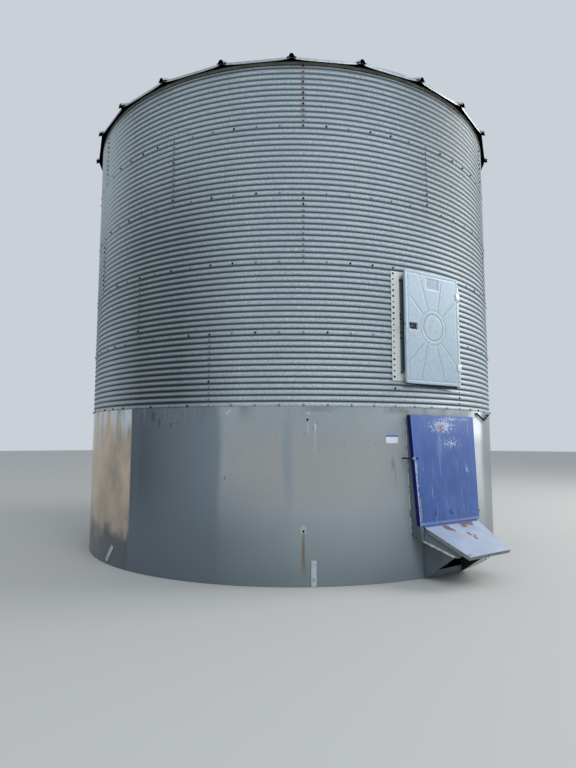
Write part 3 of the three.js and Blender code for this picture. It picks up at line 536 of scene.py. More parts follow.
def grained(
    name, metallic, roughness, scale, dark, light, detail=3.0, stretch=(1, 1, 1),
    limits=(0, 1), dulled=None, depth=None, specular=0.5
):
    """A finish of two colours mixed by one grain, which can also dull it and rise from it."""
    material = finish(name, metallic, roughness, specular)
    grain = mottle(material, scale, stretch, detail=detail)
    share = grain if limits == (0, 1) else between(grain, *limits)
    dullness = spread(grain, *dulled) if dulled else None
    coat(material, mixed(share, dark, light), dullness, grain if depth else None, depth)
    return material


zinc = grained("zinc_plating", 0.7, 0.38, 160, (0.26, 0.285, 0.30), (0.44, 0.47, 0.49))
black_bolt = grained(
    "black_bolt_paint", 0.0, 0.5, 120, (0.003, 0.0035, 0.004), (0.014, 0.014, 0.014), specular=0.15
)
rubber = grained("washer_rubber", 0.0, 0.8, 200, (0.02, 0.022, 0.024), (0.07, 0.075, 0.08))


def hexagon_bolt(name, washer_radius, head_radius, head_finish, washer_finish):
    """A bolt head on its washer, standing on the origin and pointing up."""
    washer_height = washer_radius * 0.22
    head_height = head_radius * 0.65
    free_hands()
    bpy.ops.mesh.primitive_cone_add(
        vertices=12, radius1=washer_radius, radius2=washer_radius * 0.78, depth=washer_height,
        location=(0, 0, washer_height / 2),
    )
    washer = bpy.context.object
    washer.data.materials.append(washer_finish)
    free_hands()
    bpy.ops.mesh.primitive_cylinder_add(
        vertices=6, radius=head_radius, depth=head_height, location=(0, 0, washer_height + head_height / 2)
    )
    head = bpy.context.object
    open_mesh(head)
    pick("faces", lambda at, facing: facing.z > 0.9)
    bpy.ops.mesh.inset(thickness=head_radius * 0.15)
    bpy.ops.transform.translate(value=(0, 0, head_height * 0.15))
    free_hands()
    head.data.materials.append(head_finish)
    place_mesh(washer)
    place_mesh(head)
    return join_pieces([washer, head], name)


def set_bolts(name, places, washer, head, finishes, slot="dark_steel", body="shell"):
    """Like bolts in all their places, each with the way that it faces, as one mesh."""
    pattern = hexagon_bolt("bolt_pattern", washer, head, *finishes)
    copies = []
    for at, facing in places:
        one = copy_of(pattern, name)
        one.location = at
        one.rotation_euler = Vector(facing).to_track_quat("Z", "Y").to_euler()
        copies.append(one)
    piece = join_pieces(copies, name)
    place_mesh(piece)
    put_away(pattern)
    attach(piece, body)


def facing_out(angle, radius, height):
    """A place on a round wall, with the way that it faces."""
    return around(angle, radius, height), around(angle, 1)


chance = random.Random(11)
dark_places = [facing_out(LONE_BOLT_ANGLE, LAP_RADIUS, SKIRT_TOP + 3 * WAVE)]
bright_places = []


def set_wall_bolt(angle, height, radius, black):
    off_door = (angle - UPPER_DOOR_ANGLE + 180) % 360 - 180
    if abs(off_door) < UPPER_FRAME["half_angle"] and UPPER_FRAME["low"] < height < UPPER_FRAME["high"]:
        return
    (dark_places if black else bright_places).append(facing_out(angle, radius, height))


for row in range(RINGS):
    for step in range(-36, 36):
        black = step in BLACK_ON_LEVEL_LAPS[row] if abs(step) < 13 else chance.random() < BLACK_SHARE
        set_wall_bolt(FIRST_SEAM + step * BOLT_STEP, SKIRT_TOP + row * RING_COVER, CREST_RADIUS, black)
for ring, seam_steps in enumerate(RING_SEAM_STEPS):
    for seam in range(6):
        for wave in range(1, WAVES_PER_RING):
            if seam in (0, 5):
                black = wave in BLACK_ON_UPRIGHT_LAPS.get((ring, seam), ())
            else:
                black = chance.random() < BLACK_SHARE
            angle = FIRST_SEAM + seam_steps * BOLT_STEP + SHEET_ANGLE * seam
            set_wall_bolt(angle, SKIRT_TOP + ring * RING_COVER + wave * WAVE, LAP_RADIUS, black)
set_bolts("zinc_wall_bolts", bright_places, **BRIGHT_BOLT, finishes=(zinc, rubber))
set_bolts("black_wall_bolts", dark_places, **DARK_BOLT, finishes=(black_bolt, black_bolt))


# Eave angle: a rolled strip of steel round the top of the wall under the roof,
# its grey-brown primer bare to the weather
EAVE_ANGLE = {"low": 5.589, "high": 5.618, "radius": 2.9295, "thickness": 0.0015}
eave_primer = grained(
    "weathered_eave_primer", 0.0, 0.6, 8, (0.17, 0.18, 0.14), (0.29, 0.29, 0.23),
    detail=5, stretch=(1, 1, 3), limits=(0.35, 0.65), dulled=(0.5, 0.75)
)


def spun_shell(name, profile, steps=72):
    """A sheet spun all the way round the axis from points of radius and height."""
    piece = point_strip(name, [(0, -radius, height) for radius, height in profile])
    sweep_open_strip(0, 360, steps)
    return piece


eave_line = [(WALL_RADIUS, EAVE_ANGLE["low"])]
eave_line += [(EAVE_ANGLE["radius"], height) for height in (EAVE_ANGLE["low"], EAVE_ANGLE["high"])]
eave_strip = spun_shell("rolled_eave_angle", eave_line, 144)
thicken(eave_strip, EAVE_ANGLE["thickness"])
smooth_folds(eave_strip)
dress(eave_strip, [eave_primer])


# Skirt: smooth sheets of 4 mm steel with the ground doorway cut out of them,
# finished in a glossy grey enamel that has dulled and stained unevenly, with
# painted reflections, a painted highlight and painted shade in its colour
SKIRT_STEEL = 0.004
SEAM_GAP = 0.003
SKIRT_EDGE = SKIRT_TOP - 0.0003
DOORWAY_ANGLE = math.degrees(math.asin(0.420 / WALL_RADIUS))
BOOT_ANGLE = math.degrees(math.asin(0.314 / WALL_RADIUS))
BESIDE_BOOT_TOP = 0.476
DOORWAY_SILL = 0.060
DOORWAY_HEAD = 1.620
SKIRT_SHEETS = [
    ("skirt_left_of_doorway", FIRST_SEAM, -DOORWAY_ANGLE, 0, SKIRT_EDGE),
    ("skirt_right_of_doorway", DOORWAY_ANGLE, FIRST_SEAM + SHEET_ANGLE, 0, SKIRT_EDGE),
    ("skirt_over_doorway", -DOORWAY_ANGLE, DOORWAY_ANGLE, DOORWAY_HEAD, SKIRT_EDGE),
    ("skirt_beside_boot_left", -DOORWAY_ANGLE, -BOOT_ANGLE, 0, BESIDE_BOOT_TOP),
    ("skirt_beside_boot_right", BOOT_ANGLE, DOORWAY_ANGLE, 0, BESIDE_BOOT_TOP),
    ("skirt_sill", -BOOT_ANGLE, BOOT_ANGLE, 0, DOORWAY_SILL),
    ("skirt_right_sheets", FIRST_SEAM + SHEET_ANGLE, FIRST_SEAM + 3 * SHEET_ANGLE, 0, SKIRT_EDGE),
    ("skirt_back_sheets", FIRST_SEAM + 3 * SHEET_ANGLE, FIRST_SEAM + 5 * SHEET_ANGLE, 0, SKIRT_EDGE),
    ("skirt_left_sheet", FIRST_SEAM - SHEET_ANGLE, FIRST_SEAM, 0, SKIRT_EDGE),
]
FREE_BOLTS = [(-32.0, 1.676), (-32.85, 0.547)]
LARGE_BOLT = {"washer": 0.012, "head": 0.0098}

enamel = finish("grey_enamel", 0.0, 0.30)
skirt_angle, skirt_height = angle_and_height(enamel)
wavy_angle = calculate("ADD", skirt_angle, spread(mottle(enamel, 2.5, (1, 1, 0.35), detail=1), -0.5, 0.5))
haze = mottle(enamel, 1.1, (1, 1, 0.5))
grey = two_tone(haze, (0.285, 0.325, 0.345), (0.330, 0.365, 0.380))

# Painted reflections: a warm bloom in the middle of the sheets, and a blue-grey line through it
painted_reflection_bloom = product(within(wavy_angle, -49, -14, 8), within(skirt_height, 0.80, 1.52, 0.45))
grey = tint(grey, painted_reflection_bloom, 0.75, (0.345, 0.340, 0.325))
painted_reflection_line = product(within(wavy_angle, -36.6, -35.1, 0.9), within(skirt_height, 0.82, 1.70, 0.5))
grey = tint(grey, painted_reflection_line, 0.55, (0.20, 0.26, 0.32))

# Right of the door the sheet turns away from the light and is painted in shade,
# but for a painted highlight beside the door that is strongest under the rings
painted_shade_right_of_door = product(
    between(wavy_angle, 12, 29, 0.10, 0.62), between(wavy_angle, 10, 13), between(wavy_angle, 75, 45)
)
grey = tint(grey, painted_shade_right_of_door, 1.0, (0.090, 0.105, 0.115))
painted_highlight_by_door = product(
    within(wavy_angle, 12.0, 19.9, 2.8),
    calculate(
        "ADD", between(skirt_height, 0.55, 1.30, 0.10, 0.42), between(skirt_height, 1.42, 1.56, 0.0, 0.48)
    ),
)
grey = tint(grey, painted_highlight_by_door, 1.0, (0.93, 0.95, 0.96))

# Between -74 and -50 degrees a deep blue-grey reflection is painted on the sheet, darkest at its left, with a
# lighter painted band at its left edge
painted_dark_reflection = product(between(skirt_angle, -74.65, -74.15), between(wavy_angle, -49.5, -51.1))
painted_dark_reflection_fade = between(wavy_angle, -73, -51, 0.0, 1.0)
deep_blue = mixed(painted_dark_reflection_fade, (0.050, 0.070, 0.092), (0.175, 0.217, 0.244))
grey = tint(grey, painted_dark_reflection, 1.0, deep_blue)
painted_reflection_edge = within(wavy_angle, -73.8, -71.5, 0.8)
grey = tint(grey, painted_reflection_edge, 0.4, (0.10, 0.13, 0.16))

# Painted shade low down on the sheets from about -100 to -34 degrees
shade_beside = product(
    between(wavy_angle, -34, -50),
    between(wavy_angle, -150, -100),
    between(skirt_height, 1.15, 0.45, 0.0, 0.75),
)
grey = tint(grey, shade_beside, 1.0, (0.115, 0.150, 0.175))

# The outermost sheet has a painted tan reflection, with pale runs from its upper
# edge, painted shade low down and a painted light sliver at its right
painted_tan_reflection = product(between(skirt_angle, -74.25, -74.75), between(wavy_angle, -122, -99))
tan_wisps = mottle(enamel, 2.6, (1.2, 1.2, 0.8), detail=2)
tan_runs = mottle(enamel, 11, (1, 1, 0.10), detail=2)
tan = two_tone(tan_wisps, (0.345, 0.280, 0.205), (0.63, 0.485, 0.335))
tan = tint(tan, between(wavy_angle, -82, -93), 0.45, (0.74, 0.60, 0.43))
tan = tint(tan, between(tan_runs, 0.40, 0.66), 0.12, (0.40, 0.37, 0.32))
pale_top = between(skirt_height, 1.42, 1.70)
pale_runs = between(mottle(enamel, 6.5, (1, 1, 0.16), detail=2), 0.44, 0.52)
tan = tint(tan, product(pale_top, pale_runs), 0.9, (0.60, 0.67, 0.72))
orange_top = between(skirt_height, 1.35, 1.60)
orange_runs = between(mottle(enamel, 6.5, (1, 1, 0.16), detail=2), 0.44, 0.40)
tan = tint(tan, product(orange_top, orange_runs), 0.5, (0.50, 0.33, 0.17))
grey = tint(grey, painted_tan_reflection, 0.92, tan)
tan_shade = product(
    painted_tan_reflection,
    between(calculate("ADD", skirt_height, spread(mottle(enamel, 5, detail=4), -0.14, 0.14)), 0.52, 0.28),
)
grey = tint(grey, tan_shade, 0.9, (0.034, 0.042, 0.050))
sliver = product(within(wavy_angle, -76.4, -75.0, 0.5), within(skirt_height, 0.34, 0.52, 0.10))
grey = tint(grey, sliver, 0.7, (0.50, 0.50, 0.46))

# The foot is darker towards the ground; runs and specks mark the upper edge
darker_towards_foot = between(skirt_height, 0.10, 0.80, 0.62, 0.0)
grey = tint(grey, darker_towards_foot, 1.0, (0.100, 0.125, 0.145))
under_lap = between(skirt_height, 1.62, SKIRT_TOP)
drip_lines = mottle(enamel, 20, (1, 1, 0.07))
broad_runs = mottle(enamel, 5, (1, 1, 0.10), shift=(3, 5, 1), detail=2)
grey = tint(grey, product(between(drip_lines, 0.60, 0.72), under_lap), 0.30, (0.44, 0.47, 0.48))
grey = tint(grey, product(between(broad_runs, 0.54, 0.70), under_lap), 0.45, (0.100, 0.125, 0.105))
fleck_grain = mottle(enamel, 64, shift=(1, 2, 3), detail=5)
fleck_zone = mottle(enamel, 3.5, (1, 1, 0.4), shift=(4, 4, 4), detail=2)
flecks = product(
    between(fleck_grain, 0.635, 0.665), between(fleck_zone, 0.46, 0.58), between(skirt_height, 1.58, 1.74)
)
grey = tint(grey, flecks, 0.8, (0.58, 0.61, 0.62))
speck_grain = mottle(enamel, 40, shift=(7, 2, 5), detail=5)
specks = product(between(speck_grain, 0.665, 0.69), between(skirt_height, 0.95, 1.55))
grey = tint(grey, specks, 0.7, (0.16, 0.08, 0.05))


def speck(angle, height, across, tall, share, colour, top_soft=0.02):
    """One mark on the skirt: its angle and height, half its size in metres, its colour."""
    half = math.degrees(across / WALL_RADIUS)
    mask = product(
        within(skirt_angle, angle - half, angle + half, half),
        within(skirt_height, height - tall, height + tall, min(tall, top_soft)),
    )
    return tint(grey, mask, share, colour)


for angle, height, across, tall, share in (
    (-13.6, 1.215, 0.020, 0.055, 0.40), (-13.0, 1.10, 0.012, 0.10, 0.22),
    (-29.5, 1.790, 0.150, 0.026, 0.30), (-12.5, 1.785, 0.120, 0.030, 0.35), (-10.0, 1.74, 0.030, 0.060, 0.25),
):
    grey = speck(angle, height, across, tall, share, (0.085, 0.100, 0.062), tall)
for angle, height, across, tall in (
    (-58.7, 1.746, 0.012, 0.012), (-67.1, 1.72, 0.030, 0.060), (-65.3, 1.65, 0.018, 0.040),
    (-49.0, 1.073, 0.008, 0.014), (-62.0, 1.62, 0.012, 0.030), (-60.2, 1.66, 0.008, 0.020),
):
    grey = speck(angle, height, across, tall, 0.6, (0.035, 0.036, 0.030))
for angle, height, across, tall in (
    (-48.1, 1.77, 0.010, 0.008), (-48.6, 1.745, 0.007, 0.010), (-31.7, 1.745, 0.010, 0.005),
    (-32.3, 1.742, 0.006, 0.004), (-30.4, 1.600, 0.006, 0.030), (-32.85, 0.600, 0.008, 0.006),
):
    grey = speck(angle, height, across, tall, 0.9, (0.66, 0.68, 0.70))
grey = speck(-31.9, 1.590, 0.007, 0.060, 0.35, (0.55, 0.58, 0.58), 0.06)
grey = speck(-30.5, 1.470, 0.008, 0.140, 0.30, (0.52, 0.55, 0.57), 0.14)
halo = product(within(skirt_angle, -33.35, -32.35, 0.3), within(skirt_height, 0.525, 0.590, 0.02))
grey = tint(grey, halo, 0.55, (0.55, 0.57, 0.55))
run_sway = spread(mottle(enamel, 7, (1, 1, 1.5), detail=2), -0.10, 0.10)
run_width = between(skirt_height, 0.20, 0.55, 0.34, 0.17)
run_off = calculate("ABSOLUTE", calculate("ADD", calculate("ADD", skirt_angle, 32.85), run_sway))
rust_run = product(
    between(calculate("SUBTRACT", run_off, run_width), 0.12, -0.05),
    within(skirt_height, 0.16, 0.54, 0.14),
    between(mottle(enamel, 30, (1, 1, 0.3), detail=4), 0.30, 0.60, 0.55, 1.0),
)
grey = tint(grey, rust_run, 0.85, (0.165, 0.125, 0.055))
coat(enamel, grey, between(haze, 0.35, 0.65, 0.27, 0.38), haze, 0.004)

for name, start, end, low, high in SKIRT_SHEETS:
    sheet = point_strip(name + "_enamelled", [(0, -WALL_RADIUS, low), (0, -WALL_RADIUS, high)])
    sweep_open_strip(start + SEAM_GAP, end - SEAM_GAP, math.ceil(end - start))
    thicken(sheet, SKIRT_STEEL)
    smooth_folds(sheet)
    dress(sheet, [enamel], stands_for=name)

skirt_bolt_places = [facing_out(angle, WALL_RADIUS, height) for angle, height in FREE_BOLTS]
set_bolts("skirt_bolts", skirt_bolt_places, **LARGE_BOLT, finishes=(black_bolt, black_bolt))


# Anchor lugs: galvanised steel plates welded to the foot of the skirt, each with a
# bolt through it; the one at the left has been bent askew
LUG = {"width": 0.055, "height": 0.258, "thickness": 0.008}
LUG_NUT_UP = 0.30
LUG_ANGLES = [-30.8, 20.6, 72.1, 123.5, 174.9, 226.3, 277.8]
ASKEW_LUG = {"angle": 277.8, "lean": 40, "shift": -0.085, "rise": 0.040, "height": 0.240}

lug_steel = finish("lug_galvanising", 0.45, 0.5)
lug_grain = mottle(lug_steel, 55, detail=4)
lug_stains = mottle(lug_steel, 14, (1, 1, 0.4), detail=4)
lug_colour = two_tone(lug_grain, (0.40, 0.44, 0.48), (0.58, 0.62, 0.66))
lug_colour = blotted(lug_colour, lug_stains, 0.60, 0.70, 0.6, (0.20, 0.12, 0.07))
coat(lug_steel, lug_colour, between(lug_stains, 0.4, 0.7, 0.42, 0.75), lug_grain, 0.0005)

lug_size = (LUG["width"], LUG["thickness"], LUG["height"])
lug_plate = block("lug_plate", lug_size, (0, -LUG["thickness"] / 2, LUG["height"] / 2))
open_mesh(lug_plate)
pick("edges", lambda at, along: at.z > LUG["height"] * 0.9 and abs(along.y) > LUG["thickness"] / 2)
bpy.ops.mesh.bevel(offset=0.005, segments=2)
free_hands()
lug_plate.data.materials.append(lug_steel)
apply_modifier(lug_plate, "BEVEL", width=0.0012, segments=2, limit_method="ANGLE")
nut = hexagon_bolt("lug_nut", 0.015, 0.011, zinc, zinc)
nut.location = (0, -LUG["thickness"], LUG["height"] * LUG_NUT_UP)
nut.rotation_euler = (math.radians(90), 0, 0)
place_mesh(nut)
lug = join_pieces([lug_plate, nut], "anchor_lug")
lugs = []
for angle in LUG_ANGLES:
    one = copy_of(lug, "anchor_lug_copy")
    if angle == ASKEW_LUG["angle"]:
        one.scale = (1, 1, ASKEW_LUG["height"] / LUG["height"])
        one.rotation_euler = (0, math.radians(ASKEW_LUG["lean"]), 0)
        one.location = (ASKEW_LUG["shift"], 0, ASKEW_LUG["rise"])
        place_mesh(one)
    one.location = (0, -WALL_RADIUS, 0)
    place_mesh(one)
    turn_about_axis(one, angle)
    lugs.append(one)
put_away(lug)
anchor_lugs = join_pieces(lugs, "anchor_lugs")
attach(anchor_lugs, "shell")


# Floor plate: flat steel sheet that closes the skirt's foot and lies on the
# ground, grey with grain dust
floor_steel = finish("dusty_floor_steel", 0.3, 0.7)
dust = mottle(floor_steel, 3, detail=6)
grit = mottle(floor_steel, 90)
floor_colour = two_tone(dust, (0.20, 0.21, 0.21), (0.33, 0.29, 0.21))
floor_colour = blotted(floor_colour, grit, 0.55, 0.7, 0.5, (0.42, 0.35, 0.22))
coat(floor_steel, floor_colour, spread(dust, 0.55, 0.85), grit, 0.0008)
for slot in nodes["floor_plate"].material_slots:
    slot.material = floor_steel


# Roof sheets: 24 galvanised gores, folded down at the eave, with a hollow
# trapezoid rib over every seam; the ribs run on past the eave and are open there
EAVE_APOTHEM = 2.970
EAVE_TOP = 5.625
EAVE_LIP = 0.028
ROOF_SLOPE = math.radians(28)
GORE_ANGLE = 15
GORES_PER_PIECE = 4
RIBS = 24
FIRST_RIB = 9.7
ROOF_INNER = 0.360
RIB_TIP = 3.031
RIB_HEIGHT = 0.038
RIB_TOP_HALF = 0.015
RIB_FOOT_HALF = 0.035
RIB_FLANGE = 0.052
RIB_STEEL = 0.0015
RIB_BOLTS = {"number": 6, "first": 0.30, "step": 0.44}
TO_CORNER = 1 / math.cos(math.radians(GORE_ANGLE / 2))


def roof_top_at(apothem):
    return EAVE_TOP + (EAVE_APOTHEM - apothem) * math.tan(ROOF_SLOPE)


def seam_point(radius, across=0.0, rise=0.0):
    """A point over the roof's seam at the front, that far from the axis."""
    return (across, -radius, roof_top_at(radius / TO_CORNER) + rise)


roof_steel = finish("roof_galvanising", 0.45, 0.42)
roof_spangle = mottle(roof_steel, 40, detail=4)
roof_clouds = mottle(roof_steel, 0.9)
roof_runs = mottle(roof_steel, 5, detail=5)
roof_colour = two_tone(roof_spangle, (0.30, 0.34, 0.37), (0.50, 0.55, 0.59), 0.36, 0.64)
roof_colour = blotted(roof_colour, roof_clouds, 0.4, 0.65, 0.4, (0.30, 0.33, 0.34))
roof_colour = blotted(roof_colour, roof_runs, 0.60, 0.75, 0.45, (0.24, 0.20, 0.15))
coat(roof_steel, roof_colour, spread(roof_clouds, 0.36, 0.55), roof_spangle, 0.0005)

# The sheets' underside and the ribs' insides are painted near black as shade
soffit_shade = grained(
    "painted_shade_underside", 0.0, 0.9, 12, (0.002, 0.002, 0.002), (0.007, 0.0065, 0.006),
    detail=4, dulled=(0.6, 0.9), specular=0.0
)

first_gores = point_strip("roof_gores", [
    (0, -EAVE_APOTHEM * TO_CORNER, EAVE_TOP - EAVE_LIP),
    (0, -EAVE_APOTHEM * TO_CORNER, EAVE_TOP),
    (0, -ROOF_INNER, roof_top_at(ROOF_INNER / TO_CORNER)),
])
sweep_open_strip(0, GORES_PER_PIECE * GORE_ANGLE, GORES_PER_PIECE)
pick("edges", lambda at, along: abs(at.z - EAVE_TOP) < 0.001 and abs(along.z) < 0.001)
bpy.ops.mesh.bevel(offset=0.005, segments=3)
LIP_LOW = EAVE_TOP - EAVE_LIP
LIP_RISE = {"height": 0.009, "reach": 0.19, "at_rib": 0.025}
pick("edges", lambda at, along: abs(at.z - LIP_LOW) < 0.001 and abs(along.z) < 0.001)
bpy.ops.mesh.subdivide(number_cuts=15)
free_hands()
for vertex in first_gores.data.vertices:
    if vertex.co.z < LIP_LOW + 0.001:
        turn = math.degrees(math.atan2(vertex.co.x, -vertex.co.y)) % GORE_ANGLE
        off_middle = math.tan(math.radians(abs(turn - GORE_ANGLE / 2)))
        from_rib = EAVE_APOTHEM * (math.tan(math.radians(GORE_ANGLE / 2)) - off_middle)
        share = max(0.0, 1 - from_rib / LIP_RISE["reach"])
        vertex.co.z += LIP_RISE["height"] * share ** 1.4 if from_rib > 0.02 else LIP_RISE["at_rib"]
thicken(first_gores, RIB_STEEL, lambda at: Vector((at.x, at.y, 4)))

seam_drop = math.tan(math.radians(GORE_ANGLE / 2)) * math.sin(ROOF_SLOPE)
rib_section = [
    (-RIB_FLANGE, RIB_STEEL - RIB_FLANGE * seam_drop),
    (-RIB_FOOT_HALF, RIB_STEEL - RIB_FOOT_HALF * seam_drop),
    (-RIB_TOP_HALF, RIB_HEIGHT),
    (RIB_TOP_HALF, RIB_HEIGHT),
    (RIB_FOOT_HALF, RIB_STEEL - RIB_FOOT_HALF * seam_drop),
    (RIB_FLANGE, RIB_STEEL - RIB_FLANGE * seam_drop),
]
first_rib = point_strip("roof_rib", [seam_point(RIB_TIP, across, up) for across, up in rib_section])
open_mesh(first_rib)
up_the_roof = Vector(seam_point(ROOF_INNER)) - Vector(seam_point(RIB_TIP))
bpy.ops.mesh.extrude_region_move(TRANSFORM_OT_translate={"value": up_the_roof})
rib_middle = seam_point((RIB_TIP + ROOF_INNER) / 2)[2]
pick("edges", lambda at, along: abs(along.y) > 1 and at.z > rib_middle - 0.003)
bpy.ops.mesh.bevel(offset=0.003, segments=2)
free_hands()
thicken(first_rib, RIB_STEEL, lambda at: Vector((0, 0, 1)))


def finish_faces(piece, index, test):
    """Gives the faces that pass the test another of the piece's finishes."""
    for face in piece.data.polygons:
        if test(face.center, face.normal):
            face.material_index = index


def on_underside(at, facing):
    return facing.z < 0.05 and facing.dot(from_axis(at).normalized()) < 0.5


rib_bolt_places = []
for sector in range(RIBS // GORES_PER_PIECE):
    parts = [copy_of(first_gores, "gores")]
    for gore in range(GORES_PER_PIECE):
        rib = copy_of(first_rib, "rib")
        turn_about_axis(rib, gore * GORE_ANGLE)
        parts.append(rib)
    piece = join_pieces(parts, f"roof_gores_{sector + 1}")
    turn_about_axis(piece, FIRST_RIB + sector * GORES_PER_PIECE * GORE_ANGLE)
    smooth_folds(piece, 25)
    dress(piece, [roof_steel, soffit_shade], stands_for=f"roof_sheets_{sector + 1}")
    finish_faces(piece, 1, on_underside)
for rib in range(RIBS):
    turn = Matrix.Rotation(math.radians(FIRST_RIB + rib * GORE_ANGLE), 3, "Z")
    for bolt in range(RIB_BOLTS["number"]):
        radius = RIB_TIP - RIB_BOLTS["first"] - bolt * RIB_BOLTS["step"]
        at = turn @ Vector(seam_point(radius, 0, RIB_HEIGHT))
        facing = turn @ Vector((0, -math.sin(ROOF_SLOPE), math.cos(ROOF_SLOPE)))
        rib_bolt_places.append((at, facing))
set_bolts("roof_rib_bolts", rib_bolt_places, 0.0115, 0.0075, (zinc, rubber))
put_away(first_gores, first_rib)


# Peak: a rolled steel collar bolted over the upper ends of the ribs, with a round
# stiffening bead, and a spun cap with a turned-down rim and two strap handles
collar_low, collar_high = (corner.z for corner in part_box("peak_collar"))
collar_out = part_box("peak_collar")[1].x
cap_low, cap_high = (corner.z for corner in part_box("fill_cap"))
cap_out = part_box("fill_cap")[1].x
PEAK_STEEL = 0.003
CAP_STEEL = 0.002
BEAD_PROUD = 0.003
COLLAR_BOLT_UP = 0.025
collar_wall = collar_out - BEAD_PROUD


def collar_bead(height, half):
    """Points of a round bead on the collar's wall."""
    turns = [math.radians(turn) for turn in range(0, 181, 30)]
    return [(collar_wall + BEAD_PROUD * math.sin(turn), height - half * math.cos(turn)) for turn in turns]


collar_profile = [(collar_wall, collar_low)]
collar_profile += collar_bead((collar_low + collar_high) / 2, 0.010) + collar_bead(collar_high - 0.008, 0.008)
collar_shell = spun_shell("rolled_peak_collar", collar_profile)
thicken(collar_shell, PEAK_STEEL)
smooth_folds(collar_shell, 40)
dress(collar_shell, [roof_steel], stands_for="peak_collar")

RIM_LINE = [(0, 0), (0, 0.020), (0.006, 0.027), (0.030, 0.031), (0.036, 0.028)]
cap_profile = [(cap_out - inside, cap_low + up) for inside, up in RIM_LINE]
for share in (0.8, 0.6, 0.4, 0.2, 0.08):
    dome = math.sqrt(1 - share * share * 0.75) - 0.5
    cap_profile.append((cap_out * share, cap_low + 0.028 + (cap_high - cap_low - 0.030) * dome * 2))
cap_profile.append((0.0, cap_high))
cap_shell = spun_shell("spun_fill_cap", cap_profile)
thicken(cap_shell, CAP_STEEL, lambda at: Vector((at.x, at.y, 1)))


def bent_rod(name, points, radius, spline_type="POLY"):
    """A round bar through the points, as a mesh with closed ends."""
    free_hands()
    line = bpy.data.curves.new(name, "CURVE")
    line.dimensions = "3D"
    spline = line.splines.new(spline_type)
    spline.points.add(len(points) - 1)
    for bar_point, place in zip(spline.points, points):
        bar_point.co = (*place, 1)
    if spline_type == "NURBS":
        spline.use_endpoint_u = True
        spline.order_u = 3
    line.bevel_depth = radius
    line.bevel_resolution = 3
    line.use_fill_caps = True
    bar = bpy.data.objects.new(name, line)
    bpy.context.scene.collection.objects.link(bar)
    take(bar)
    bpy.ops.object.convert(target="MESH")
    return bpy.context.object


HANDLE_LINE = [(-0.06, 0.070), (-0.06, 0.115), (0.06, 0.115), (0.06, 0.070)]
handles = []
for across in (-0.25, 0.25):
    grip = [(across, along, cap_low + up) for along, up in HANDLE_LINE]
    handles.append(bent_rod("cap_handle", grip, 0.006))
cap_shell = join_pieces([cap_shell, *handles], "spun_fill_cap")
smooth_folds(cap_shell, 40)
dress(cap_shell, [roof_steel], stands_for="fill_cap")

collar_bolts = []
for rib in range(RIBS):
    angle = FIRST_RIB + (rib + 0.5) * GORE_ANGLE
    collar_bolts.append(facing_out(angle, collar_wall, collar_low + COLLAR_BOLT_UP))
set_bolts("peak_collar_bolts", collar_bolts, 0.012, 0.008, (zinc, rubber))


# Roof hatch: a pressed steel lid lying on one gore beside the eave, with a raised
# field, two hinge straps at its upper edge and a handle at the lower one
def rounded_copy(node_name, name, rounding, segments=2):
    """A copy of a CAD node with its sharp edges rounded as folded or rolled steel."""
    piece = bpy.data.objects.new(name, nodes[node_name].data.copy())
    bpy.context.scene.collection.objects.link(piece)
    open_mesh(piece)
    bpy.ops.mesh.customdata_custom_splitnormals_clear()
    bpy.ops.mesh.remove_doubles(threshold=0.00002)
    bpy.ops.mesh.dissolve_limited(angle_limit=math.radians(1.5))
    apply_modifier(
        piece, "BEVEL", width=rounding, segments=segments, limit_method="ANGLE",
        angle_limit=math.radians(40), harden_normals=False,
    )
    smooth_folds(piece, 40)
    return piece


STRAP_LINE = [(2.385, 0.030), (2.41, 0.050), (2.52, 0.052)]
GRIP_LINE = [(-0.07, 0.045), (-0.07, 0.062), (0.07, 0.062), (0.07, 0.045)]
HATCH_ANGLE = FIRST_RIB - 1.5 * GORE_ANGLE
hatch_up = Vector((0, -math.sin(ROOF_SLOPE), math.cos(ROOF_SLOPE)))


def on_hatch(across, apothem, rise):
    """A point over the front gore's surface."""
    return Vector((across, -apothem, roof_top_at(apothem))) + hatch_up * rise


hatch = rounded_copy("roof_hatch", "pressed_roof_hatch", 0.006, 3)
turn_about_axis(hatch, -HATCH_ANGLE)
open_mesh(hatch)
pick("faces", lambda at, facing: facing.dot(hatch_up) > 0.98 and facing.z > 0.8)
bpy.ops.mesh.inset(thickness=0.050)
bpy.ops.mesh.inset(thickness=0.010)
bpy.ops.transform.translate(value=hatch_up * 0.006)
free_hands()
hatch_parts = [hatch]
for across in (-0.17, 0.17):
    hatch_parts.append(bent_rod("hatch_strap", [on_hatch(across, *place) for place in STRAP_LINE], 0.008))
grip = [on_hatch(across, 2.66, rise) for across, rise in GRIP_LINE]
hatch_parts.append(bent_rod("hatch_handle", grip, 0.006))
hatch = join_pieces(hatch_parts, "pressed_roof_hatch")
turn_about_axis(hatch, HATCH_ANGLE)
smooth_folds(hatch, 35)
dress(hatch, [roof_steel], stands_for="roof_hatch")


# Upper door frame: a galvanised frame rolled to the wall's curve and bolted
# through every corrugation, with its inner edge folded out into a square jamb
FRAME_RADIUS = 2.9305
FRAME_HALF = 0.542
FRAME_STEEL = 0.003
JAMB_FRONT = 2.948
FRAME_BOLT_ACROSS = 0.516
INNER_BOLT_ACROSS = 0.428

frame_steel = finish("frame_galvanising", 0.3, 0.45)
frame_cloud = mottle(frame_steel, 7, (1, 1, 0.5), detail=4)
frame_spangle = mottle(frame_steel, 60)
frame_colour = two_tone(frame_spangle, (0.58, 0.62, 0.61), (0.74, 0.765, 0.73))
frame_colour = blotted(frame_colour, frame_cloud, 0.52, 0.72, 0.5, (0.34, 0.36, 0.36))
frame_across, _, frame_height = parts_of_place(frame_steel, -UPPER_DOOR_ANGLE)
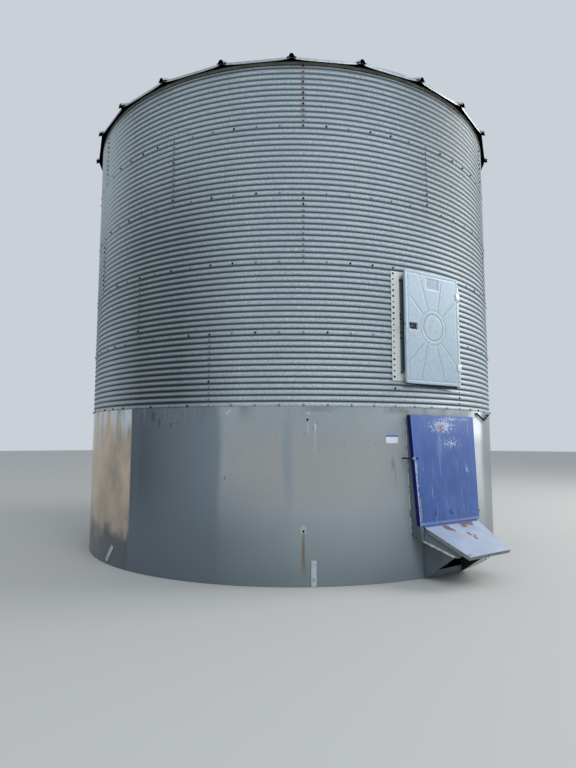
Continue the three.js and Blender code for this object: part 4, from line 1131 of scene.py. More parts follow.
# Painted shadow of the leaf on the frame, along its left jamb
painted_leaf_shadow = product(within(frame_across, -0.438, -0.300, 0.008), within(frame_height, 2.190, 3.255, 0.05))
frame_colour = tint(frame_colour, painted_leaf_shadow, 0.92, (0.060, 0.082, 0.098))
coat(frame_steel, frame_colour, spread(frame_cloud, 0.38, 0.6), frame_spangle, 0.0004)

jamb_edge = UPPER_OPENING["half"] + FRAME_STEEL
jamb_low = UPPER_OPENING["low"] - FRAME_STEEL
jamb_high = UPPER_OPENING["high"] + FRAME_STEEL
frame_angle = math.degrees(math.asin(FRAME_HALF / FRAME_RADIUS))
door_frame = point_strip("bolted_upper_door_frame", [
    (0, -FRAME_RADIUS, UPPER_FRAME["low"]), (0, -FRAME_RADIUS, UPPER_FRAME["high"])
])
sweep_open_strip(-frame_angle, frame_angle, 24)
for across in (-jamb_edge, jamb_edge):
    bpy.ops.mesh.select_all(action="SELECT")
    bpy.ops.mesh.bisect(plane_co=(across, 0, 0), plane_no=(1, 0, 0))
for height in (jamb_low, jamb_high):
    bpy.ops.mesh.select_all(action="SELECT")
    bpy.ops.mesh.bisect(plane_co=(0, 0, height), plane_no=(0, 0, 1))
pick("faces", lambda at, facing: abs(at.x) < jamb_edge and jamb_low < at.z < jamb_high)
bpy.ops.mesh.delete(type="FACE")


def on_jamb(at, along):
    inside = abs(at.x) < jamb_edge + 0.001 and jamb_low - 0.001 < at.z < jamb_high + 0.001
    upright = abs(abs(at.x) - jamb_edge) < 0.001
    level = min(abs(at.z - jamb_low), abs(at.z - jamb_high)) < 0.001
    return inside and (upright or level)


pick("edges", on_jamb)
bpy.ops.mesh.extrude_edges_move()
bpy.ops.transform.resize(value=(1, 0, 1), center_override=(0, -JAMB_FRONT, 0))
free_hands()
thicken(door_frame, FRAME_STEEL, lambda at: Vector((0, -1, 0)))
turn_about_axis(door_frame, UPPER_DOOR_ANGLE)
smooth_folds(door_frame)
dress(door_frame, [frame_steel], stands_for="upper_door_frame")


def on_frame(across, height):
    """A place on the curved frame, with the way that it faces."""
    return facing_out(UPPER_DOOR_ANGLE + math.degrees(math.asin(across / FRAME_RADIUS)), FRAME_RADIUS, height)


LARGE_BOLTS_FROM_FOOT = (0, 3, 10, 11, 12, 14, 15, 18)
frame_bolts = {"large": [], "small": []}
first_wave = math.ceil((UPPER_FRAME["low"] + 0.02 - SKIRT_TOP) / WAVE)
last_wave = math.floor((UPPER_FRAME["high"] - 0.02 - SKIRT_TOP) / WAVE)
for wave in range(first_wave, last_wave + 1):
    size = "large" if wave - first_wave in LARGE_BOLTS_FROM_FOOT else "small"
    for across in (-FRAME_BOLT_ACROSS, FRAME_BOLT_ACROSS):
        frame_bolts[size].append(on_frame(across, SKIRT_TOP + wave * WAVE))
for height in (2.197, 2.576, 2.637, 2.790, 2.835, 3.220):
    for across in (-INNER_BOLT_ACROSS, INNER_BOLT_ACROSS):
        frame_bolts["large"].append(on_frame(across, height))
set_bolts("large_frame_bolts", frame_bolts["large"], **LARGE_BOLT, finishes=(black_bolt, black_bolt))
set_bolts("small_frame_bolts", frame_bolts["small"], 0.009, 0.0068, (black_bolt, black_bolt))


# Upper door leaf: one sheet pressed into a shallow tray, with rings and rays
# raised in its face to stiffen it, and a square pocket for the hand
LEAF_HALF = 0.422
LEAF_LOW = 2.078
LEAF_HIGH = 3.343
LEAF_FRONT = 2.9723
LEAF_DEPTH = 0.024
LEAF_MIDDLE = 2.721
LEAF_CORNER = 0.026
LEAF_FOLD = 0.004
GROOVE = {"depth": 0.0032, "half_width": 0.0065, "line": 0.0030}
RINGS_PRESSED = {0.066: 0.35, 0.150: 1.0, 0.200: 0.5}
RAYS_PRESSED = [
    ((-0.080, 0.199), (-0.203, 0.593)), ((0.080, 0.199), (0.148, 0.560)),
    ((-0.158, 0.145), (-0.352, 0.322)), ((0.158, 0.145), (0.352, 0.322)),
    ((-0.140, -0.181), (-0.370, -0.401)), ((0.140, -0.181), (0.370, -0.401)),
    ((-0.095, -0.210), (-0.195, -0.596)), ((0.056, -0.210), (0.173, -0.604)),
]
BORDER_INSET = 0.036
LEAF_EDGES = {"left": -LEAF_HALF, "right": LEAF_HALF, "low": LEAF_LOW, "high": LEAF_HIGH}
LABEL_FIELD = {"left": -0.098, "right": 0.098, "low": 3.152, "high": 3.282, "depth": 0.003, "slope": 0.006}
POCKET = {"left": -0.362, "right": -0.232, "low": 2.672, "high": 2.753, "depth": 0.016, "slope": 0.007}
POCKET_FOOT_INSET = 0.006


def line_distance(x, z, start, end):
    run = Vector(end) - Vector(start)
    share = (Vector((x, z)) - Vector(start)).dot(run) / run.length_squared
    share = min(1.0, max(0.0, share))
    return (Vector((x, z)) - (Vector(start) + run * share)).length


def inside_depth(x, z, box):
    """How far a place is inside a rectangle, less than 0 outside it."""
    return min(x - box["left"], box["right"] - x, z - box["low"], box["high"] - z)


def pressed_depth(x, z):
    """How far the tools pressed the face in at a place."""
    up = z - LEAF_MIDDLE
    reach = math.hypot(x, up)
    lines = [(abs(reach - ring), strength) for ring, strength in RINGS_PRESSED.items()]
    if reach > 0.19:
        lines.append((min(line_distance(x, up, start, end) for start, end in RAYS_PRESSED), 0.8))
    lines.append((abs(inside_depth(x, z, LEAF_EDGES) - BORDER_INSET), 0.8))
    depth = 0.0
    for away, strength in lines:
        depth += strength * GROOVE["depth"] * math.exp(-((away / GROOVE["half_width"]) ** 2))
    for box in (LABEL_FIELD, POCKET):
        depth += box["depth"] * min(1.0, max(0.0, inside_depth(x, z, box) / box["slope"] + 0.5))
    return depth


free_hands()
bpy.ops.mesh.primitive_grid_add(x_subdivisions=150, y_subdivisions=225, size=1)
leaf = bpy.context.object
leaf.name = "pressed_upper_door_leaf"
leaf_mid_height = (LEAF_LOW + LEAF_HIGH) / 2
leaf_centre = (0, -LEAF_FRONT, leaf_mid_height)
leaf.scale = (2 * (LEAF_HALF - LEAF_FOLD), LEAF_HIGH - LEAF_LOW - 2 * LEAF_FOLD, 1)
leaf.rotation_euler = (math.radians(90), 0, 0)
leaf.location = leaf_centre
place_mesh(leaf)
corner_x = LEAF_HALF - LEAF_FOLD - LEAF_CORNER
corner_z = (LEAF_HIGH - LEAF_LOW) / 2 - LEAF_FOLD - LEAF_CORNER
for vertex in leaf.data.vertices:
    beyond_x = abs(vertex.co.x) - corner_x
    beyond_z = abs(vertex.co.z - leaf_mid_height) - corner_z
    if beyond_x > 0 and beyond_z > 0:
        share = max(beyond_x, beyond_z) / math.hypot(beyond_x, beyond_z)
        vertex.co.x = math.copysign(corner_x + beyond_x * share, vertex.co.x)
        side = math.copysign(1, vertex.co.z - leaf_mid_height)
        vertex.co.z = leaf_mid_height + side * (corner_z + beyond_z * share)
    vertex.co.y += pressed_depth(vertex.co.x, vertex.co.z)
open_mesh(leaf)
bpy.ops.mesh.region_to_loop()
narrow = LEAF_HALF - LEAF_FOLD
tall = (LEAF_HIGH - LEAF_LOW) / 2 - LEAF_FOLD
for outset, back in ((0.0028, 0.0012), (0.0012, 0.0028), (0.0, LEAF_DEPTH - LEAF_FOLD)):
    bpy.ops.mesh.extrude_edges_move(TRANSFORM_OT_translate={"value": (0, back, 0)})
    widened = ((narrow + outset) / narrow, 1, (tall + outset) / tall)
    bpy.ops.transform.resize(value=widened, center_override=leaf_centre)
    narrow += outset
    tall += outset
free_hands()
thicken(leaf, 0.0012, lambda at: Vector((0, -1, 0)))
turn_about_axis(leaf, UPPER_DOOR_ANGLE)
smooth_folds(leaf, 50)

leaf_steel = finish("pressed_leaf_galvanising", 0.25, 0.44)
leaf_spangle = mottle(leaf_steel, 70, detail=4)
leaf_cloud = mottle(leaf_steel, 4, detail=5)
leaf_colour = two_tone(leaf_spangle, (0.315, 0.400, 0.475), (0.405, 0.490, 0.560))
leaf_colour = blotted(leaf_colour, leaf_cloud, 0.40, 0.66, 0.4, (0.385, 0.48, 0.54))
leaf_blotches = mottle(leaf_steel, 26, detail=4)
leaf_colour = blotted(leaf_colour, leaf_blotches, 0.50, 0.66, 0.35, (0.26, 0.335, 0.405))
leaf_across, _, leaf_height = parts_of_place(leaf_steel, -UPPER_DOOR_ANGLE)
leaf_up = calculate("SUBTRACT", leaf_height, LEAF_MIDDLE)
leaf_reach = calculate("SQRT", calculate("ADD", product(leaf_across, leaf_across), product(leaf_up, leaf_up)))


def darkening_along_line(away, share):
    """Darkening along the middle of a pressed line."""
    line = GROOVE["line"]
    return product(between(away, line * 1.6, line * 0.6), share)


pressed_line_darkening = 0.0
for ring, share in RINGS_PRESSED.items():
    away = calculate("ABSOLUTE", calculate("SUBTRACT", leaf_reach, ring))
    pressed_line_darkening = calculate("MAXIMUM", pressed_line_darkening, darkening_along_line(away, 0.8 * share))
for start, end in RAYS_PRESSED:
    run = (Vector(end) - Vector(start)).normalized()
    level = calculate("MULTIPLY", calculate("SUBTRACT", leaf_across, start[0]), run.y)
    upright = calculate("MULTIPLY", calculate("SUBTRACT", leaf_up, start[1]), run.x)
    away = calculate("ABSOLUTE", calculate("SUBTRACT", level, upright))
    on_ray = within(leaf_up, min(start[1], end[1]), max(start[1], end[1]), 0.004)
    ray_darkening = product(darkening_along_line(away, 0.6), on_ray)
    pressed_line_darkening = calculate("MAXIMUM", pressed_line_darkening, ray_darkening)
leaf_colour = mixed(pressed_line_darkening, leaf_colour, (0.085, 0.115, 0.145))
worn_field = product(
    within(leaf_across, -0.094, 0.094, 0.02),
    within(leaf_height, 3.175, 3.278, 0.03),
    between(leaf_blotches, 0.30, 0.55, 0.3, 0.7),
)
leaf_colour = mixed(worn_field, leaf_colour, (0.27, 0.295, 0.335))
# Painted highlight round the rim of the hand pocket
rim_width = 0.011
pocket_rim_highlight = product(
    within(leaf_across, POCKET["left"] - rim_width, POCKET["right"] + rim_width, 0.003),
    within(leaf_height, POCKET["low"] - rim_width, POCKET["high"] + rim_width, 0.003),
)
leaf_colour = tint(leaf_colour, pocket_rim_highlight, 0.6, (0.60, 0.68, 0.73))
coat(leaf_steel, leaf_colour, spread(leaf_spangle, 0.38, 0.52), leaf_spangle, 0.0003)
dress(leaf, [leaf_steel], stands_for="upper_door_leaf")

dark_iron = finish("dark_iron", 0.5, 0.55)
iron_grain = mottle(dark_iron, 45, detail=4)
iron_rust = mottle(dark_iron, 16, shift=(4, 1, 2), detail=5)
iron_colour = mixed(iron_grain, (0.006, 0.006, 0.007), (0.024, 0.024, 0.024))
iron_colour = blotted(iron_colour, iron_rust, 0.58, 0.70, 0.5, (0.060, 0.034, 0.020))
coat(dark_iron, iron_colour, between(iron_rust, 0.4, 0.7, 0.45, 0.75), iron_grain, 0.0004)


def on_leaf(across, proud, height):
    """A place in front of the leaf's face, in the silo's frame."""
    at = Vector((across, -LEAF_FRONT - proud, height))
    return Matrix.Rotation(math.radians(UPPER_DOOR_ANGLE), 3, "Z") @ at


pocket_grip = [(-0.345, 2.745), (-0.345, 2.700), (-0.262, 2.700), (-0.262, 2.745)]
grip = bent_rod("upper_door_grip", [on_leaf(x, -0.008, z) for x, z in pocket_grip], 0.006)
smooth_folds(grip, 40)
dress(grip, [dark_iron])
# The pocket's inside: mottled dark dirt, with painted shadow under its top and right edges
pocket_shade = finish("pocket_dirt_and_shadow", 0.1, 0.8)
pocket_dirt_and_shadow = mottle(pocket_shade, 60, detail=4)
pocket_across, _, pocket_height = parts_of_place(pocket_shade, -UPPER_DOOR_ANGLE)
pocket_colour = two_tone(pocket_dirt_and_shadow, (0.030, 0.033, 0.036), (0.24, 0.25, 0.26), 0.46, 0.54)
pocket_painted_shadow = calculate(
    "MAXIMUM",
    between(pocket_height, POCKET["high"] - 0.034, POCKET["high"] - 0.018),
    between(pocket_across, POCKET["right"] - 0.030, POCKET["right"] - 0.014),
)
pocket_colour = mixed(pocket_painted_shadow, pocket_colour, (0.004, 0.005, 0.007))
coat(pocket_shade, pocket_colour)
leaf.data.materials.append(pocket_shade)
turn_back = Matrix.Rotation(math.radians(-UPPER_DOOR_ANGLE), 3, "Z")
finish_faces(leaf, 1, lambda at, facing: inside_depth((turn_back @ at).x, at.z, POCKET) > POCKET_FOOT_INSET)

# A black rubber strip under the leaf that stands in for the leaf's shadow; it hangs
# lower at its right end, where the shadow is wider
SHADOW_SEAL = {"size": (0.800, 0.020, 0.007), "place": (-0.010, -2.950, LEAF_LOW - 0.005)}
SHADOW_SEAL_DROP = 0.018
shadow_seal = block("door_seal_for_leaf_shadow", **SHADOW_SEAL)
open_mesh(shadow_seal)
pick("verts", lambda at, facing: at.z < LEAF_LOW - 0.006 and at.x > 0)
bpy.ops.transform.translate(value=(0, 0, -SHADOW_SEAL_DROP))
free_hands()
apply_modifier(shadow_seal, "BEVEL", width=0.002, segments=2)
turn_about_axis(shadow_seal, UPPER_DOOR_ANGLE)
dress(shadow_seal, [black_bolt])


# Upper door hinges: folded steel straps, each with a round pin in its knuckle,
# bolted to the frame at the door's right edge
HINGE_HEIGHTS = [2.240, 3.078]
HINGE_LENGTH = 0.110
HINGE_PIN = {"across": 0.443, "proud": -0.004, "radius": 0.007, "end": 0.006}
for index, height in enumerate(HINGE_HEIGHTS):
    hinge = rounded_copy(f"upper_door_hinge_{index + 1}", f"folded_hinge_{index + 1}", 0.0025)
    pin_ends = (height - HINGE_PIN["end"], height + HINGE_LENGTH + HINGE_PIN["end"])
    pin_line = [on_leaf(HINGE_PIN["across"], HINGE_PIN["proud"], end) for end in pin_ends]
    hinge = join_pieces([hinge, bent_rod("hinge_pin", pin_line, HINGE_PIN["radius"])], hinge.name)
    smooth_folds(hinge, 40)
    dress(hinge, [frame_steel], stands_for=f"upper_door_hinge_{index + 1}")


# Upper door latch: a dark round bar hook that reaches from the leaf's left edge
# over the frame, and drops into an eye there
LATCH_HEIGHT = 2.722
latch_line = [
    (-0.4225, -0.010, 0.004), (-0.444, -0.010, 0.004), (-0.458, -0.012, -0.006),
    (-0.475, -0.014, -0.010), (-0.489, -0.014, -0.002), (-0.491, -0.014, 0.014),
]
latch = bent_rod("latch_hook", [on_leaf(x, proud, LATCH_HEIGHT + up) for x, proud, up in latch_line], 0.0065)
smooth_folds(latch, 40)
dress(latch, [black_bolt], stands_for="upper_door_latch")


# Housing sides, hood and boot: bent plates of painted steel round the ground
# doorway, welded to the skirt, with a bead of sealant up each upright joint
housing_paint = finish("housing_enamel", 0.0, 0.42)
housing_cloud = mottle(housing_paint, 5, (1, 1, 0.5), detail=4)
housing_scuffs = mottle(housing_paint, 34, (1, 1, 0.25), detail=5)
housing_colour = two_tone(housing_cloud, (0.095, 0.118, 0.138), (0.135, 0.162, 0.186))
housing_colour = blotted(housing_colour, housing_scuffs, 0.62, 0.72, 0.5, (0.27, 0.29, 0.30))
coat(housing_paint, housing_colour, spread(housing_cloud, 0.35, 0.55), housing_scuffs, 0.0005)

# Painted light: the hood's upward faces are light grey, as lit from above
flange_paint = grained(
    "painted_light_flange_edge", 0.3, 0.45, 22, (0.46, 0.50, 0.51), (0.76, 0.79, 0.78),
    detail=4, limits=(0.38, 0.62), dulled=(0.4, 0.6)
)
# Painted shade: the plates' inner faces and the lid's underside are near black, as the shade in the chute's
# mouth
mouth_shade_paint = grained("painted_mouth_shade", 0.0, 0.8, 20, (0.008, 0.008, 0.009), (0.030, 0.028, 0.026), detail=4)

SIDES = ((-1, "left"), (1, "right"))
for hand, side in SIDES:
    for part, name in (("housing", "housing_cheek"), ("hood", "chute_hood"), ("boot", "chute_boot")):
        plate = rounded_copy(f"{part}_side_{side}", f"{name}_{side}", 0.0012)
        paints = [housing_paint, flange_paint, mouth_shade_paint]
        dress(plate, paints, stands_for=f"{part}_side_{side}")
        finish_faces(plate, 2, lambda at, facing: facing.x * hand < -0.5)
        if part == "hood":
            finish_faces(plate, 1, lambda at, facing: facing.z > 0.75 and at.z < 0.47)

# Angle irons along the hood's lower edges, painted light as lit from above
HOOD_BACK = {"half": 0.432, "out": 3.0151, "up": 0.416}
HOOD_END = {"half": 0.335, "out": 3.375, "up": 0.288}
HOOD_RAIL = {"start": 3.018, "end": 3.338, "height": 0.014, "beside": 0.0225, "drop": 0.008, "steel": 0.004}


def along_hood(out, measure):
    """The hood's half width, or the height of its flange, that far out."""
    share = (out - HOOD_BACK["out"]) / (HOOD_END["out"] - HOOD_BACK["out"])
    return HOOD_BACK[measure] + share * (HOOD_END[measure] - HOOD_BACK[measure])


for hand, side in SIDES:
    rail_points = []
    for out in (HOOD_RAIL["start"], HOOD_RAIL["end"]):
        across = hand * (along_hood(out, "half") + HOOD_RAIL["beside"])
        rail_points.append((across, -out, along_hood(out, "up") - HOOD_RAIL["drop"]))
    rail = point_strip(f"lit_hood_rail_{side}", rail_points)
    bpy.ops.mesh.select_all(action="SELECT")
    bpy.ops.mesh.extrude_edges_move(TRANSFORM_OT_translate={"value": (0, 0, HOOD_RAIL["height"])})
    free_hands()
    thicken(rail, HOOD_RAIL["steel"], lambda at: Vector((hand, 0, 0)))
    apply_modifier(rail, "BEVEL", width=0.0012, segments=2, limit_method="ANGLE")
    smooth_folds(rail, 40)
    dress(rail, [flange_paint])

# A blue strip across the foot of the doorway, behind the chute lid's rod
SILL_STRIP = {"size": (0.850, 0.002, 0.015), "place": (0, -3.0230, 0.5585)}
strip_paint = grained("blue_strip_enamel", 0.0, 0.5, 14, (0.12, 0.18, 0.42), (0.22, 0.30, 0.58), detail=4)
sill_strip = block("doorway_sill_strip", **SILL_STRIP)
apply_modifier(sill_strip, "BEVEL", width=0.0006, segments=2)
dress(sill_strip, [strip_paint])

sealant = finish("weathered_sealant", 0.0, 0.65)
sealant_dirt = mottle(sealant, 40, (1, 1, 0.6), detail=5)
sealant_colour = two_tone(sealant_dirt, (0.13, 0.15, 0.16), (0.58, 0.61, 0.61), 0.42, 0.54)
coat(sealant, sealant_colour, sealant_dirt, sealant_dirt, 0.002)

# The housing's upright joints lean as the door's edges do
DOOR_FOOT = {"half": 0.495, "up": 0.572}
DOOR_TOP = {"half": 0.535, "up": 1.737}
SEALANT = {"low": 0.485, "high": 1.715, "inside_door": 0.017, "wobble": 0.0012, "steps": 14}
half_per_metre = (DOOR_TOP["half"] - DOOR_FOOT["half"]) / (DOOR_TOP["up"] - DOOR_FOOT["up"])
for hand, side in SIDES:
    beads = []
    for step in range(SEALANT["steps"] + 1):
        height = SEALANT["low"] + step / SEALANT["steps"] * (SEALANT["high"] - SEALANT["low"])
        door_half = DOOR_FOOT["half"] + (height - DOOR_FOOT["up"]) * half_per_metre
        across = hand * (door_half - SEALANT["inside_door"])
        wobble = SEALANT["wobble"] * math.sin(step * 2.3)
        beads.append((across + wobble, -math.sqrt(WALL_RADIUS ** 2 - across ** 2) - 0.001, height))
    seam = bent_rod(f"sealant_bead_{side}", beads, 0.0045, "NURBS")
    smooth_folds(seam, 40)
    dress(seam, [sealant])


# Housing door: a tray of 4 mm steel with its edges folded back, hung on two
# barrels at its right edge. Its blue enamel is chalky on the face and chipped to
# the primer near the top; its folds are painted navy as shade
def spot(material, at, size, soft=0.4):
    """1 at a place, falling to 0 at the given sizes from it; None leaves an axis out."""
    stretch = tuple(0 if extent is None else 1 / extent for extent in size)
    shift = tuple(0 if extent is None else -c / extent for c, extent in zip(at, size))
    place = place_of(material, stretch, shift)
    away = node(material.node_tree, "VectorMath", place, operation="LENGTH").outputs["Value"]
    return between(away, 1, soft)


def ragged(mask, grain, reach=0.5):
    """Breaks a soft mask's edge up with a grain."""
    rough = calculate("ADD", mask, spread(grain, -reach, reach))
    return between(rough, 0.46, 0.56)


blue_face = finish("chalky_blue_enamel", 0.0, 0.5, specular=0.35)
face_x, _, face_z = parts_of_place(blue_face)
blue_cloud = mottle(blue_face, 3.5, (1, 1, 0.5), detail=4)
blue = two_tone(blue_cloud, (0.045, 0.096, 0.290), (0.066, 0.130, 0.362))
fine_lines = mottle(blue_face, 60, (1, 1, 0.014), detail=2)
line_cloud = mottle(blue_face, 6, (1, 1, 0.5), shift=(7, 1, 3))
scratches = product(
    between(fine_lines, 0.52, 0.68), between(line_cloud, 0.40, 0.64), between(face_z, 1.75, 0.75, 0.14, 0.38)
)
blue = mixed(scratches, blue, (0.36, 0.42, 0.55))
chip_grain = mottle(blue_face, 48, detail=7, rough=0.7)
chip_zone = spot(blue_face, (-0.03, 0, 1.625), (0.34, None, 0.125), 0.1)
for low_spot, low_share in (
    (spot(blue_face, (0.11, 0, 1.43), (0.29, None, 0.105), 0.0), 0.72),
    (spot(blue_face, (0.34, 0, 1.70), (0.20, None, 0.035), 0.0), 0.80),
    (spot(blue_face, (0.10, 0, 1.70), (0.32, None, 0.045), 0.0), 0.85),
):
    chip_zone = calculate("MAXIMUM", chip_zone, product(low_spot, low_share))
chips = ragged(product(chip_zone, 0.75), chip_grain, 0.58)
blue = tint(blue, chips, 0.75, (0.46, 0.53, 0.62))
rust_grain = mottle(blue_face, 35, shift=(2, 4, 6), detail=6)
rust_patch = ragged(spot(blue_face, (-0.055, 0, 1.607), (0.085, None, 0.055), 0.2), rust_grain)
blue = tint(blue, rust_patch, 0.85, (0.215, 0.125, 0.115))
for across, top, foot, width, share in (
    (-0.087, 1.55, 1.30, 0.004, 0.60), (-0.108, 1.53, 1.26, 0.003, 0.45), (-0.117, 1.50, 1.10, 0.003, 0.35),
    (-0.062, 1.52, 1.34, 0.002, 0.30), (0.423, 1.66, 1.56, 0.005, 0.55), (0.415, 1.60, 1.50, 0.002, 0.30),
):
    drip = product(
        within(face_x, across - width, across + width, 0.004), within(face_z, foot, top, 0.12), share
    )
    blue = mixed(drip, blue, (0.34, 0.42, 0.56))
above_foot = calculate("SUBTRACT", face_z, DOOR_FOOT["up"])
half_here = calculate("ADD", DOOR_FOOT["half"], calculate("MULTIPLY", above_foot, half_per_metre))
from_left = calculate("ADD", face_x, half_here)
fold_line = within(from_left, 0.002, 0.011, 0.004)
blue = tint(blue, fold_line, 0.45, (0.16, 0.24, 0.50))
edge_wear = product(
    ragged(between(from_left, 0.050, 0.012, 0, 0.66), rust_grain), between(face_z, 1.32, 1.20, 0, 0.85)
)
blue = mixed(edge_wear, blue, (0.36, 0.43, 0.56))
bare_strip = product(
    within(from_left, 0.012, 0.045, 0.008), ragged(within(face_z, 0.65, 0.86, 0.06), rust_grain, 0.25)
)
blue = tint(blue, bare_strip, 0.85, (0.21, 0.25, 0.26))
for across, height, wide, tall in (
    (-0.240, 0.690, 0.016, 0.040), (-0.262, 0.668, 0.022, 0.014), (0.000, 0.688, 0.030, 0.020),
    (0.020, 0.668, 0.034, 0.016), (0.012, 0.710, 0.024, 0.012),
):
    scuff = ragged(spot(blue_face, (across, 0, height), (wide, None, tall), 0.3), chip_grain, 0.35)
    blue = tint(blue, scuff, 0.85, (0.018, 0.034, 0.150))
foot_lip = between(face_z, 0.608, 0.602)
blue = tint(blue, foot_lip, 0.55, (0.17, 0.26, 0.56))
lip_line = within(face_z, 0.584, 0.592, 0.004)
blue = tint(blue, lip_line, 0.45, (0.30, 0.38, 0.60))
nick = ragged(spot(blue_face, (0.345, 0, 1.135), (0.050, None, 0.062), 0.0), chip_grain, 0.62)
blue = tint(blue, nick, 0.45, (0.45, 0.52, 0.62))
coat(blue_face, blue, spread(blue_cloud, 0.42, 0.60), chip_grain, 0.0006)

# Painted shade: the faces not turned to the front get a darker navy copy of the blue
fold_shade_enamel = grained(
    "painted_shade_fold_enamel", 0.0, 0.4, 9, (0.004, 0.005, 0.085), (0.009, 0.012, 0.135), detail=5,
    stretch=(1, 1, 0.4), limits=(0.35, 0.65), dulled=(0.34, 0.5), depth=0.0006, specular=0.15
)

LOWER_BARREL = {"beyond": 0.499, "up": 0.662, "half": 0.013}
door = rounded_copy("housing_door", "blue_housing_door", 0.0022)
dress(door, [blue_face, fold_shade_enamel, dark_iron], "housing_door", stands_for="housing_door")
finish_faces(door, 1, lambda at, facing: facing.y > -0.75)
finish_faces(door, 2, lambda at, facing: (
    at.x > LOWER_BARREL["beyond"] and abs(at.z - LOWER_BARREL["up"]) < LOWER_BARREL["half"]
))

for index in (1, 2):
    ear = rounded_copy(f"housing_door_ear_{index}", f"welded_hinge_ear_{index}", 0.0015)
    dress(ear, [dark_iron], stands_for=f"housing_door_ear_{index}")

strap = rounded_copy("hasp_strap", "bent_hasp_strap", 0.0012)
dress(strap, [dark_iron], "housing_door", stands_for="hasp_strap")
strap_low, strap_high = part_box("hasp_strap")
STRAP_BOLT = {"washer": 0.017, "head": 0.0135, "finishes": (zinc, zinc)}
strap_middle = (-0.561, -3.0195, (strap_low.z + strap_high.z) / 2)
strap_bolt_place = [(strap_middle, (-0.80, -0.60, 0))]
set_bolts("hasp_strap_bolt", strap_bolt_place, **STRAP_BOLT, slot="galvanised", body="housing_door")


# Chute lid: a tapering steel tray hinged along its upper edge on a round rod. Its
# pale enamel has rusted through in patches that run down the slope
LID_HINGE = {"out": 3.0433, "up": 0.5476}
LID_SLOPE = math.radians(26.3)
CORNER_TAB = {"size": (0.034, 0.026, 0.003), "across": -0.312, "down": 0.496, "proud": 0.0115}

lid_face = finish("pale_lid_enamel", 0.0, 0.42)
lid_cloud = mottle(lid_face, 5, detail=4)
lid_grain = mottle(lid_face, 42, detail=6)
lid_colour = two_tone(lid_cloud, (0.285, 0.342, 0.445), (0.340, 0.398, 0.510))


def lid_place(across, down):
    """A place on the lid: across it, and down its slope from the hinge."""
    return (across, -LID_HINGE["out"] - down * math.cos(LID_SLOPE), 0)


for across, down, wide, long in (
    (-0.090, 0.19, 0.020, 0.15), (0.076, 0.27, 0.022, 0.13), (0.20, 0.12, 0.016, 0.09),
):
    stain = product(spot(lid_face, lid_place(across, down), (wide, long, None), 0.0), 0.75)
    lid_colour = mixed(stain, lid_colour, (0.42, 0.36, 0.22))
for across, down, wide, long in (
    (-0.140, 0.045, 0.072, 0.066), (-0.095, 0.095, 0.030, 0.040), (0.205, 0.018, 0.165, 0.046),
    (0.130, 0.058, 0.060, 0.036), (0.265, 0.050, 0.045, 0.024), (0.052, 0.195, 0.034, 0.044),
    (0.072, 0.262, 0.032, 0.048), (0.108, 0.225, 0.022, 0.026),
):
    patch = ragged(spot(lid_face, lid_place(across, down), (wide, long, None), 0.35), lid_grain, 0.35)
    rust = mixed(lid_grain, (0.050, 0.020, 0.013), (0.27, 0.115, 0.070))
    lid_colour = tint(lid_colour, patch, 0.92, rust)
coat(lid_face, lid_colour, spread(lid_cloud, 0.36, 0.5), lid_grain, 0.0005)

lid_edge = grained(
    "weathered_lid_edge", 0.0, 0.5, 14, (0.10, 0.125, 0.125), (0.19, 0.22, 0.22),
    detail=5, limits=(0.35, 0.65), dulled=(0.42, 0.6)
)

lid = rounded_copy("chute_lid", "hinged_chute_lid", 0.0020)
dress(lid, [lid_face, lid_edge, mouth_shade_paint], "chute_lid", stands_for="chute_lid")
lid_up = Vector((0, -math.sin(LID_SLOPE), math.cos(LID_SLOPE)))
finish_faces(lid, 1, lambda at, facing: facing.dot(lid_up) < 0.75)
finish_faces(lid, 2, lambda at, facing: facing.dot(lid_up) < -0.75)
tab_height = LID_HINGE["up"] - CORNER_TAB["down"] * math.sin(LID_SLOPE) + CORNER_TAB["proud"]
tab_place = Vector(lid_place(CORNER_TAB["across"], CORNER_TAB["down"])) + Vector((0, 0, tab_height))
corner_tab = block("lid_corner_plate", CORNER_TAB["size"], tab_place, LID_SLOPE)
apply_modifier(corner_tab, "BEVEL", width=0.001, segments=2)
dress(corner_tab, [lid_edge], "chute_lid")

rod_low, rod_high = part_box("lid_hinge_rod")
rod_middle = (rod_low + rod_high) / 2
rod = bent_rod("round_lid_rod", [
    (rod_low.x, rod_middle.y, rod_middle.z), (rod_high.x, rod_middle.y, rod_middle.z)
], 0.0039)
smooth_folds(rod, 40)
dress(rod, [dark_iron], stands_for="lid_hinge_rod")


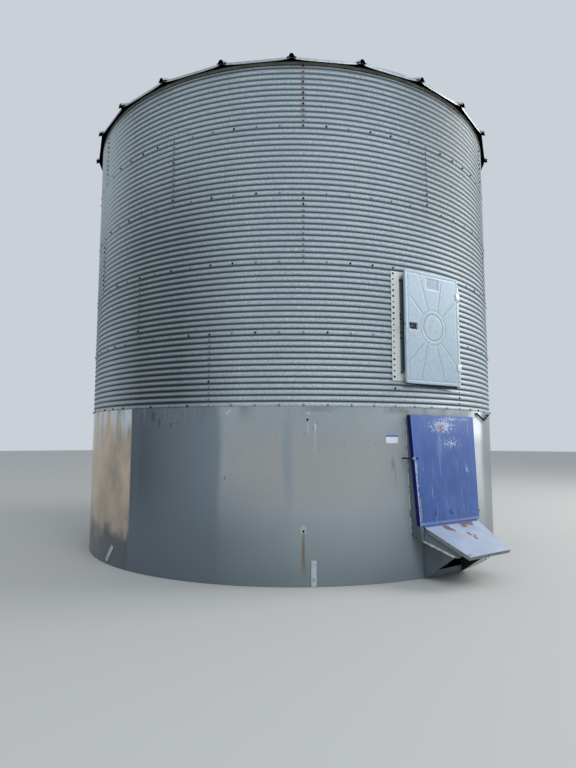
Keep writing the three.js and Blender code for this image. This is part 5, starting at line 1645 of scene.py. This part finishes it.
# Door hook: a black bar bent to a V beside the housing, welded on two short feet,
# with a small ring at its left end; the open door is held there
HOOK = {"left": 15.2, "middle": 20.3, "right": 25.4, "high": 1.786, "low": 1.712, "reach": 0.024}
HOOK_BAR = 0.012
hook_out = WALL_RADIUS + HOOK["reach"]
bends = (("left", "high"), ("middle", "low"), ("right", "high"))
hook_line = [around(HOOK[angle], hook_out, HOOK[height]) for angle, height in bends]
hook_parts = [bent_rod("hook_bar", hook_line, HOOK_BAR)]
for side in ("left", "right"):
    foot = [around(HOOK[side], WALL_RADIUS, HOOK["high"]), around(HOOK[side], hook_out + 0.004, HOOK["high"])]
    hook_parts.append(bent_rod("hook_foot", foot, 0.010))
free_hands()
bpy.ops.mesh.primitive_torus_add(
    major_radius=0.014, minor_radius=0.0035, major_segments=24, minor_segments=10,
    location=around(HOOK["left"], hook_out - 0.004, HOOK["high"] - 0.018),
    rotation=(math.radians(90), 0, math.radians(HOOK["left"] + 55)),
)
hook_parts.append(bpy.context.object)
hook = join_pieces(hook_parts, "bent_door_hook")
place_mesh(hook)
smooth_folds(hook, 50)
hook_paint = grained(
    "black_bar_paint", 0.0, 0.55, 50, (0.003, 0.003, 0.004), (0.010, 0.010, 0.010),
    detail=4, limits=(0.5, 0.7), dulled=(0.4, 0.6), specular=0.05
)
dress(hook, [hook_paint], stands_for="door_hook")


# Number plate: a small enamelled plate, bare, white with a blue band along its
# top, held to the skirt by four rivets
PLATE = {"angle": -13.7, "low": 1.432, "high": 1.520, "half": 0.075, "band": 0.020}
PLATE_RIVET = {"inside": 0.009, "proud": 0.0023}
plate_enamel = finish("white_plate_enamel", 0.0, 0.35)
plate_dirt = mottle(plate_enamel, 25, detail=5)
plate_height = parts_of_place(plate_enamel)[2]
plate_colour = mixed(between(plate_dirt, 0.45, 0.75, 0, 0.5), (0.78, 0.82, 0.86), (0.50, 0.50, 0.47))
band_low = PLATE["high"] - PLATE["band"]
plate_band = between(plate_height, band_low - 0.001, band_low + 0.001)
plate_colour = mixed(plate_band, plate_colour, (0.07, 0.15, 0.48))
coat(plate_enamel, plate_colour, spread(plate_dirt, 0.3, 0.5))
plate = rounded_copy("number_plate", "bare_number_plate", 0.0005)
dress(plate, [plate_enamel], stands_for="number_plate")
rivet_places = []
turn = Matrix.Rotation(math.radians(PLATE["angle"]), 3, "Z")
for across in (-PLATE["half"] + PLATE_RIVET["inside"], PLATE["half"] - PLATE_RIVET["inside"]):
    for height in (PLATE["low"] + PLATE_RIVET["inside"], PLATE["high"] - PLATE_RIVET["inside"]):
        at = Vector((across, -WALL_RADIUS - PLATE_RIVET["proud"], height))
        rivet_places.append((turn @ at, turn @ Vector((0, -1, 0))))
set_bolts("number_plate_rivets", rivet_places, 0.004, 0.003, (zinc, zinc))
